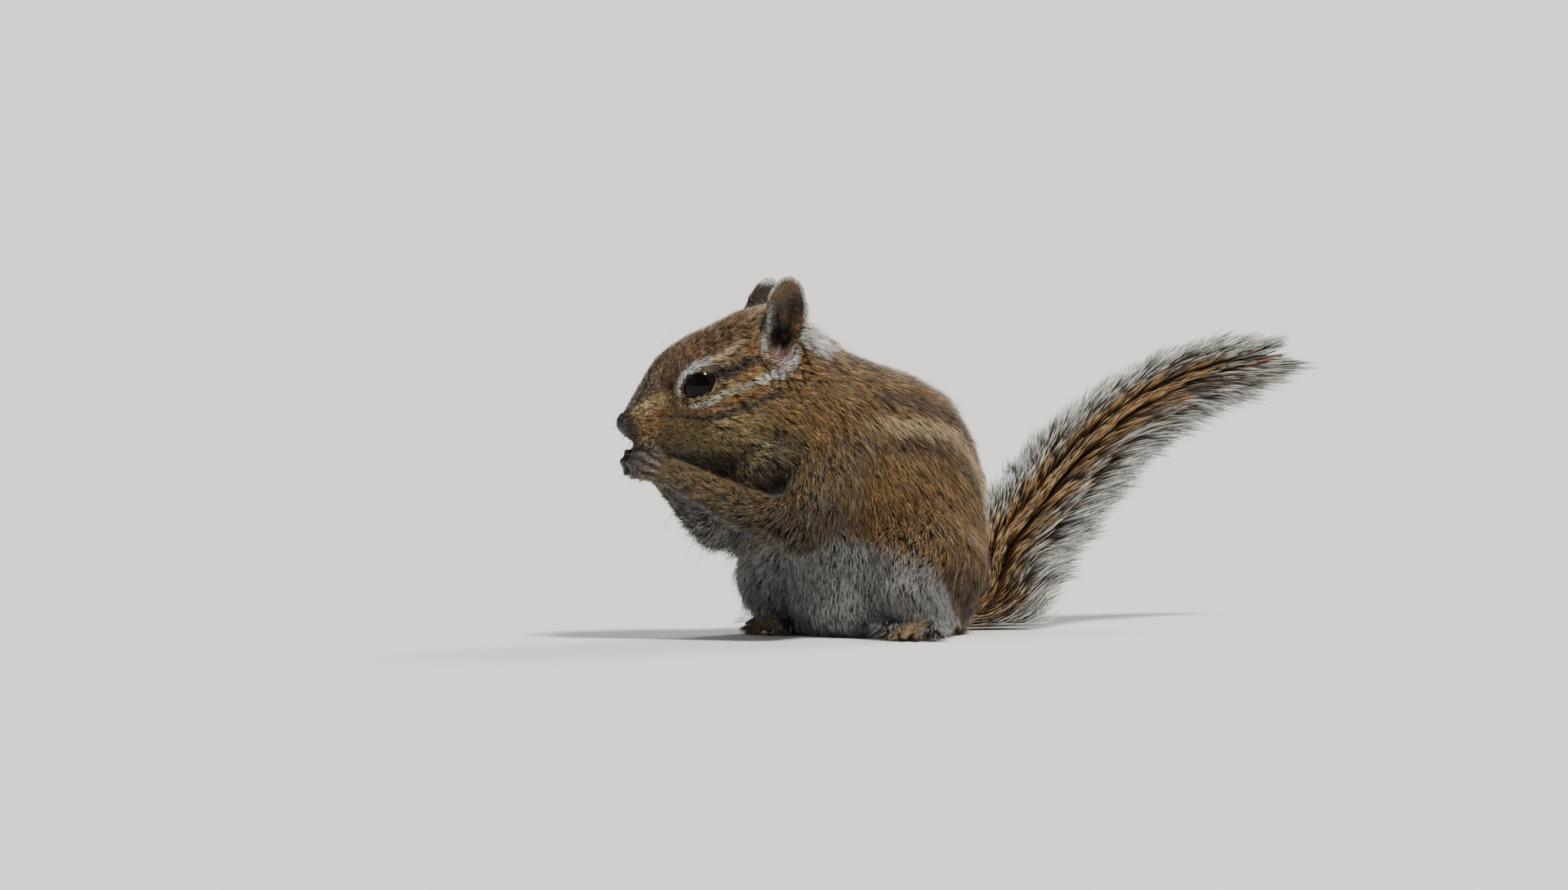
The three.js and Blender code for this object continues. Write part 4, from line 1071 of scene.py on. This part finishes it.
for side in (1, -1):
    back, tall, out = in_ear_frame(roots, side)
    oval = ear_oval(back, tall)
    by_ear = (oval < 1.6) & (out > -5) & (kind != "ear")
    length = np.where(by_ear, np.minimum(length, 0.7 + 3.5 * np.maximum(oval - 1, 0)), length)
fine = np.isin(kind, ["nose", "face", "hand", "foot", "ear"])
guard = (draws.random(count) < GUARD_SHARE) & ~fine
length = length * draws.uniform(0.7, 1.15, count) * np.where(guard, GUARD_LONG, 1.0)
loft = depth * draws.uniform(0.5, 1.15, count) * np.where(guard, GUARD_LONG, 1.0) + 0.1 * length
behind, aside, up = in_head_frame(roots)
tuft = near_line(behind, up, NAPE_WHITE, 1.0) * step(np.abs(aside) - 5, 2)
length *= 1 + 0.4 * tuft
loft += 4.0 * tuft
bristle = on_part(weights, "face", "crown") * step(normals[:, 2] - 0.3, 0.3)
loft += 0.28 * length * bristle * draws.random(count)
slope = np.arcsin(np.clip(loft / length, 0.1, 0.8))
clump, clump_draw = cell_draws(roots, np.where(fine, FINE_CLUMP, COARSE_CLUMP)[:, None])
wander = draws.normal(0, 0.22, (count, 3)) + 0.5 * (clump_draw - 0.5)[:, None] * np.cross(normals, lay)
lay = unit(lay + wander - normals * (wander * normals).sum(1)[:, None])
# The lower half rises steeply and the upper half lies down, sags to the body and is pulled to the clump.
steep, shallow = 1.35 * slope[:, None], 0.6 * slope[:, None]
rings = roots + (0.5 * length)[:, None] * (np.cos(steep) * lay + np.sin(steep) * normals)
tips = rings + (0.5 * length)[:, None] * (np.cos(shallow) * lay + np.sin(shallow) * normals)
sag = 0.25 * length**2 / np.maximum(weights @ BONE_THICK, 3.0)
tips -= normals * np.minimum(sag, 0.4 * depth + 0.05)[:, None]
pull = clump - roots
pull -= normals * (pull * normals).sum(1)[:, None]
pull *= np.where(kind == "ear", 0.0, 0.6)[:, None]
tips += pull
rings += 0.4 * pull
across = unit(np.cross(lay, normals))
shares = colour_shares(0.4 * rings + 0.6 * tips, weights, normals)
colours = tuft_colours(shares, count) * np.exp(0.5 * (clump_draw - 0.5))[:, None, None]
colours = np.clip(colours, 0.004, 0.95)
half = half * draws.uniform(0.7, 1.25, count) * np.where(guard, GUARD_THIN, 1.0)
turned = on_body(roots)[1]
low = np.abs(turned) > 75
on_head = np.isin(kind, ["nose", "face", "crown", "ear"])
on_arm = np.isin(kind, ["arm", "forearm", "hand", "throat"])
on_leg = np.isin(kind, ["thigh", "shin", "foot"])
on_trunk = ~(on_head | on_arm | on_leg)
by_limb = on_left_limb[weights.argmax(1)]
COAT_PIECES = {  # where it grows, which of it is on the left, and its slot
    "head": (on_head, aside > 0, "face_fur"),
    "back": (on_trunk & ~low, turned > 0, "body_fur"),
    "side": (on_trunk & low, turned > 0, "body_fur"),
    "arm": (on_arm, by_limb, "limb_fur"),
    "leg": (on_leg, by_limb, "limb_fur"),
}
for part, (grows, on_left, slot) in COAT_PIECES.items():
    for side, mine in (("left", grows & on_left), ("right", grows & ~on_left)):
        shade = [colours[mine, i] for i in range(3)]
        shape = (roots - normals * ROOT_SUNK)[mine], [rings[mine]], tips[mine]
        ways = across[mine], normals[mine]
        piece = blades(f"coat_{part}_{side}", *shape, *ways, [half[mine]], shade, uv[mine], fur)
        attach(piece, "root")


# Tail hair: long banded hair, rust at its root, then black, then white at its tip, each a slender blade
# rooted in the tail's core. It stands off steeply at the root of the tail and lies closer towards its
# end, and it parts to both edges, so the brush is flat.
TAIL_HAIR = 13.5
TAIL_SHARES = (0.28, 0.54, 0.76)  # of a hair's length, where its rings are
TAIL_HALF = 0.12
TAIL_CLUMP, TAIL_MOTTLE = 3.0, 3.6
TAIL_ROUND = 5  # millimetres for a radian round the tail, where it is rolled out flat
TAIL_STOPS = {  # colours of the root, the three rings and the tip
    "edge": ((20, 15, 11), (50, 37, 23), (16, 14, 13), (66, 66, 63), (94, 94, 92)),
    "face": ((14, 11, 8), (40, 29, 18), (28, 20, 14), (56, 42, 26), (76, 64, 47)),
    "dark": ((12, 10, 8), (36, 27, 17), (17, 14, 12), (25, 20, 16), (52, 45, 37)),
}
tail_line = smooth_path(TAIL_PATH, 400)
tail_run = np.concatenate([[0], np.cumsum(np.linalg.norm(np.diff(tail_line, axis=0), axis=1))])
TAIL_LENGTH = tail_run[-1]
tail_run = tail_run / TAIL_LENGTH
tail_ahead = unit(np.gradient(tail_line, axis=0))
tail_across = unit(np.cross((0.35, 1.0, 0.1), tail_ahead))
tail_deep = np.cross(tail_ahead, tail_across)


def round_tail(points):
    """Share along the tail's line, angle round it from one edge of the brush, and distance from it."""
    k = nearest_row(points, tail_line)
    arm = points - tail_line[k]
    high, wide = (arm * tail_deep[k]).sum(1), (arm * tail_across[k]).sum(1)
    return tail_run[k], np.arctan2(high, wide), np.hypot(high, wide)


def beside_tail(t, angle, distance):
    """The place at a share along the tail's line, an angle and a distance. The line runs on past its end."""
    line, ahead, across, deep = (
        np.stack([np.interp(t, tail_run, values[:, i]) for i in range(3)], 1)
        for values in (tail_line, tail_ahead, tail_across, tail_deep)
    )
    place = line + ahead * (TAIL_LENGTH * np.maximum(t - 1, 0))[:, None]
    return place + (distance * np.cos(angle))[:, None] * across + (distance * np.sin(angle))[:, None] * deep


on_tail = step(kind_share(skin_weights, "tail") - 0.5, 0.2)
edge_share = np.cos(round_tail(skin_points)[1]) ** 2
roots, normals, uv = scatter(on_tail * (8.5 + 12 * edge_share))
count = len(roots)
t, angle, distance = round_tail(roots)
flat = np.stack([t * TAIL_LENGTH, angle * TAIL_ROUND, 0 * t], 1)
clump, clump_draw = cell_draws(flat, TAIL_CLUMP)
from_clump = flat - clump
to_edge = np.cos(angle)
fringe = to_edge**2
length = TAIL_HAIR * (0.62 + 0.38 * fringe) * np.interp(t, [0, 0.1, 0.85, 1], [0.6, 1, 1, 0.86])
length *= 1 + 0.12 * to_edge + 0.14 * np.maximum(to_edge, 0)  # the lower edge's are longer
length *= (0.92 + 0.16 * clump_draw) * draws.uniform(0.72, 1.05, count)
lift = np.radians(np.interp(t, [0, 0.85, 1], [58, 26, 12]))
lift = lift * (0.65 + 0.35 * fringe) * draws.uniform(0.82, 1.15, count)


def tail_place(share):
    """Places of all the tail's hairs at a share of their length: on along the tail by that share of the
    cosine of their lift, and out from it by a curve of the share times its sine."""
    gather = 1 - 0.5 * share
    along = clump[:, 0] + from_clump[:, 0] * gather + length * share * np.cos(lift)
    turned = (clump[:, 1] + from_clump[:, 1] * gather) / TAIL_ROUND
    out = distance + length * np.sin(lift) * (1.4 * share - 0.4 * share**2)
    place = beside_tail(along / TAIL_LENGTH, turned, out)
    place[:, 2] = np.maximum(place[:, 2], 0.4 + share)
    return place


foot, *rings, tips = (tail_place(share) for share in (0.0, *TAIL_SHARES, 1.0))
k = nearest_row(roots, tail_line)
face_way = unit(tail_deep[k] + draws.normal(0, 0.3, (count, 3)))
across = unit(np.cross(tips - foot, face_way))
face_way = np.cross(across, unit(tips - foot))
half = TAIL_HALF * draws.uniform(0.7, 1.25, count)
edge, face, dark = (as_light(TAIL_STOPS[name]) for name in ("edge", "face", "dark"))
side_on = np.abs(to_edge)
at_edge = step(to_edge - 0.77, 0.18) + step(-to_edge - 0.66, 0.24)
is_edge = draws.random(count) < np.maximum(at_edge, 0.75 * step(t - 0.86, 0.1) * step(side_on - 0.2, 0.3))
dark_share = 0.4 + 0.25 * step(t - 0.72, 0.15) + 0.3 * step(side_on - 0.5, 0.2)
mottle = cell_draws(flat + (0, 0, 9), TAIL_MOTTLE)[1]
is_dark = ~is_edge & (0.5 * draws.random(count) + 0.15 * clump_draw + 0.35 * mottle < dark_share)
stops = np.where(is_edge[:, None, None], edge, np.where(is_dark[:, None, None], dark, face))
stops = np.clip(stops * np.exp(draws.normal(0, 0.2, count))[:, None, None], 0.004, 0.95)
TAIL_PIECES = {"tail_hair_low": (0, 0.32), "tail_hair_middle": (0.32, 0.66), "tail_hair_high": (0.66, 2)}
for name, (first, last) in TAIL_PIECES.items():
    mine = (t >= first) & (t < last)
    shade = [stops[mine, i] for i in range(5)]
    shape = foot[mine], [ring[mine] for ring in rings], tips[mine]
    widths = [half[mine], half[mine], 0.75 * half[mine]]
    piece = blades(name, *shape, across[mine], face_way[mine], widths, shade, uv[mine], fur)
    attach(piece, "root")


# Eyes: wet black balls with a very dark brown ring round the pupil, as glass eyes are made. Each sits
# whole in its socket in the skin and stands for the solids' ball.
PUPIL_EDGE, RING_EDGE = 30, 56  # degrees from the eye's axis
EYE_BLACK, RING_BROWN = np.array([0.002, 0.0015, 0.0015]), np.array([0.008, 0.004, 0.002])
SIDES = {"left": 1, "right": -1}


def smooth_piece(name, points, faces, colours, material):
    """An object of one smooth mesh, with one colour or one for each point."""
    mesh = mesh_of(name, points, faces)
    mesh.shade_smooth()
    set_colour(mesh, colours)
    mesh.materials.append(material)
    return add_object(name, mesh)


for name, side in SIDES.items():
    outward, back, lid_up = eye_axes(side)
    centre = beside_head(EYE_PLACE, side)
    points, faces = ball(centre, (EYE_RADIUS,) * 3, (outward, side * back, lid_up), 64, 48)
    off_axis = np.degrees(np.arccos(np.clip((points - centre) @ outward / EYE_RADIUS, -1, 1)))
    ring = step(off_axis - PUPIL_EDGE, 4) * step(RING_EDGE - off_axis, 4)
    glass = coat_material("eye", 0.05, 1500.0, 0.3)
    glass.node_tree.nodes["Principled BSDF"].inputs["Specular IOR Level"].default_value = 0.14
    eyeball = smooth_piece("eyeball_" + name, points, faces, EYE_BLACK + ring[:, None] * RING_BROWN, glass)
    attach(eyeball, "root")
    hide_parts("eye_" + name)


# Eyelids: narrow rims of bare dark skin round the almond openings. Each is a thin closed tube that lies
# on the eyeball where the fur ends.
RIM_RADIUS, RIM_RISE, RIM_POINTS = 0.3, 0.18, 72
RIM_COLOUR = (0.006, 0.004, 0.0035)


def ring_tube(centres, radius, middle, sides=10):
    """Closed tube along a closed line round the middle, its sections square to the line."""
    ahead = unit(np.roll(centres, -1, 0) - np.roll(centres, 1, 0))
    out = unit(centres - middle)
    rings = rings_round(centres, np.full(len(centres), radius), out, np.cross(ahead, out), sides)
    return rings.reshape(-1, 3), walls_between(len(centres), sides, closed=True)


for name, side in SIDES.items():
    outward, back, lid_up = eye_axes(side)
    centre = beside_head(EYE_PLACE, side)
    a = np.linspace(0, 2 * np.pi, RIM_POINTS, endpoint=False)
    tall = LID_TALL * np.sin(a) * almond(np.cos(a))
    ray = outward + LID_LONG * np.cos(a)[:, None] * back + tall[:, None] * lid_up
    points, faces = ring_tube(centre + unit(ray) * (EYE_RADIUS + RIM_RISE), RIM_RADIUS, centre)
    rim_skin = coat_material("eyelid", 0.4, 2500.0, 0.3, 0.0001)
    eyelid = smooth_piece("eyelid_" + name, points, faces[:, ::side].tolist(), RIM_COLOUR, rim_skin)
    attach(eyelid, "root")


# Claws: small curved cones of horn, dark at the root and paler at the tip. One grows out of the end of
# each finger and toe and bends to its underside.
TOES = [(-3.4, 4.2, -24), (-1.7, 6.6, -9), (0, 7.2, 0), (1.7, 6.8, 9), (3.4, 4.8, 24)]  # across, reach, turn
FINGER_CLAW, TOE_CLAW = 1.3, 2.0
CLAW_HALF, CLAW_BEND, CLAW_RINGS, CLAW_SIDES = 0.34, 0.28, 7, 6
CLAW_ROOT, CLAW_TIP = np.array([0.045, 0.028, 0.02]), np.array([0.16, 0.12, 0.09])


def claw_roots(side):
    """Place, way, length and way of the bend of every claw of one side, the fingers' first."""
    knuckles, ahead, inward, spread = hand_frame(side)
    rows = []
    for offset, reach in FINGERS:
        bend = knuckles + spread * offset * 0.97 + ahead * (reach - 1)
        rows.append((bend + inward * 2.9 - ahead * 0.1, inward - 0.6 * ahead, FINGER_CLAW, -ahead))
    yaw, sole = foot_frame(side)
    for across_foot, reach, turned in TOES:
        ahead = axes_of(yaw + side * turned)[0]
        tip = sole(21.8, side * across_foot, 1.5) + ahead * reach
        rows.append((tip, ahead, TOE_CLAW, np.array([0, 0, -1.0])))
    return rows


shapes = []
t = np.linspace(-0.25, 1, CLAW_RINGS)
for root, way, reach, droop in claw_roots(1) + claw_roots(-1):
    bend = droop * (CLAW_BEND * reach * np.maximum(t, 0) ** 2)[:, None]
    line = root + unit(way) * (t * reach)[:, None] + bend
    line[:, 2] = np.maximum(line[:, 2], 0.2)
    shapes.append(tube(line, CLAW_HALF * (1 - np.maximum(t, 0)) ** 0.7 + 0.03, CLAW_SIDES))
tone = np.append(np.repeat(np.linspace(0, 1, CLAW_RINGS), CLAW_SIDES), [0, 1])
tone = np.tile(tone, len(shapes))[:, None]
horn = coat_material("claw", 0.3, 2200.0, 0.3, 0.00004)
claws = smooth_piece("claws", *joined(shapes), (1 - tone) * CLAW_ROOT + tone * CLAW_TIP, horn)
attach(claws, "root")


# Whiskers: stiff dark single hairs that taper to a point and bend a little. They grow in four rows on
# each whisker pad, with a few over the eyes and under the forearms.
PAD_ROWS = (1.2, -0.2, -1.6, -2.8)  # heights
BROW_SPOTS = ((15.5, 9.6), (17.5, 10.2))  # distance behind the nose and height
FOREARM_SHARES = (0.12, 0.3, 0.75)
WHISKER_HALF, WHISKER_RINGS, WHISKER_SIDES = 0.075, 9, 4
WHISKER_COLOUR = (0.05, 0.045, 0.04)


def whisker_rows(side):
    """Root, way, length and sag of each whisker of one side. On the pad the hinder ones are longer and
    swing back more, and the lower ones are shorter and point down more."""
    forward, left, up = HEAD_AXES
    rows = []
    for row, rise in enumerate(PAD_ROWS):
        for place in range(4 - row // 2):
            behind = 3.6 + 1.7 * place + 0.3 * row
            root = in_head(behind, side * (3.0 + 0.42 * place), rise)
            swing = draws.normal(0, 0.12, 3)
            way = side * (0.8 + 0.1 * place) * left + (0.25 - 0.35 * place) * forward
            way = unit(way + (0.25 - 0.22 * row) * up + swing)
            rows.append((root, way, 9.0 + 4.2 * place - 1.2 * row, 0.16))
    for behind, rise in BROW_SPOTS:
        root = in_head(behind, side * 7.6, rise)
        rows.append((root, unit(0.5 * side * left + 1.0 * up + 0.2 * forward), draws.uniform(7, 10), 0.3))
    elbow, wrist = elbow_of(side), beside_head(WRIST, side)
    for share in FOREARM_SHARES:
        root = elbow + share * (wrist - elbow) + np.array([0, 0, -2.5])
        rows.append((root, unit(0.6 * forward - 1.0 * up + 0.2 * side * left), draws.uniform(7, 11), -0.1))
    return rows


shapes = []
t = np.linspace(0, 1, WHISKER_RINGS)
bend = HEAD_AXES[0] * -0.5 + np.array([0, 0, -0.8])
for root, way, reach, sag in whisker_rows(1) + whisker_rows(-1):
    line = root + way * (t * reach)[:, None] + bend * (sag * reach * t**2)[:, None]
    shapes.append(tube(line, WHISKER_HALF * (1 - t) ** 0.8 + 0.012, WHISKER_SIDES))
bristle_hair = coat_material("whisker", 0.35, 900.0, 0.3)
whiskers = smooth_piece("whiskers", *joined(shapes), WHISKER_COLOUR, bristle_hair)
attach(whiskers, "root")
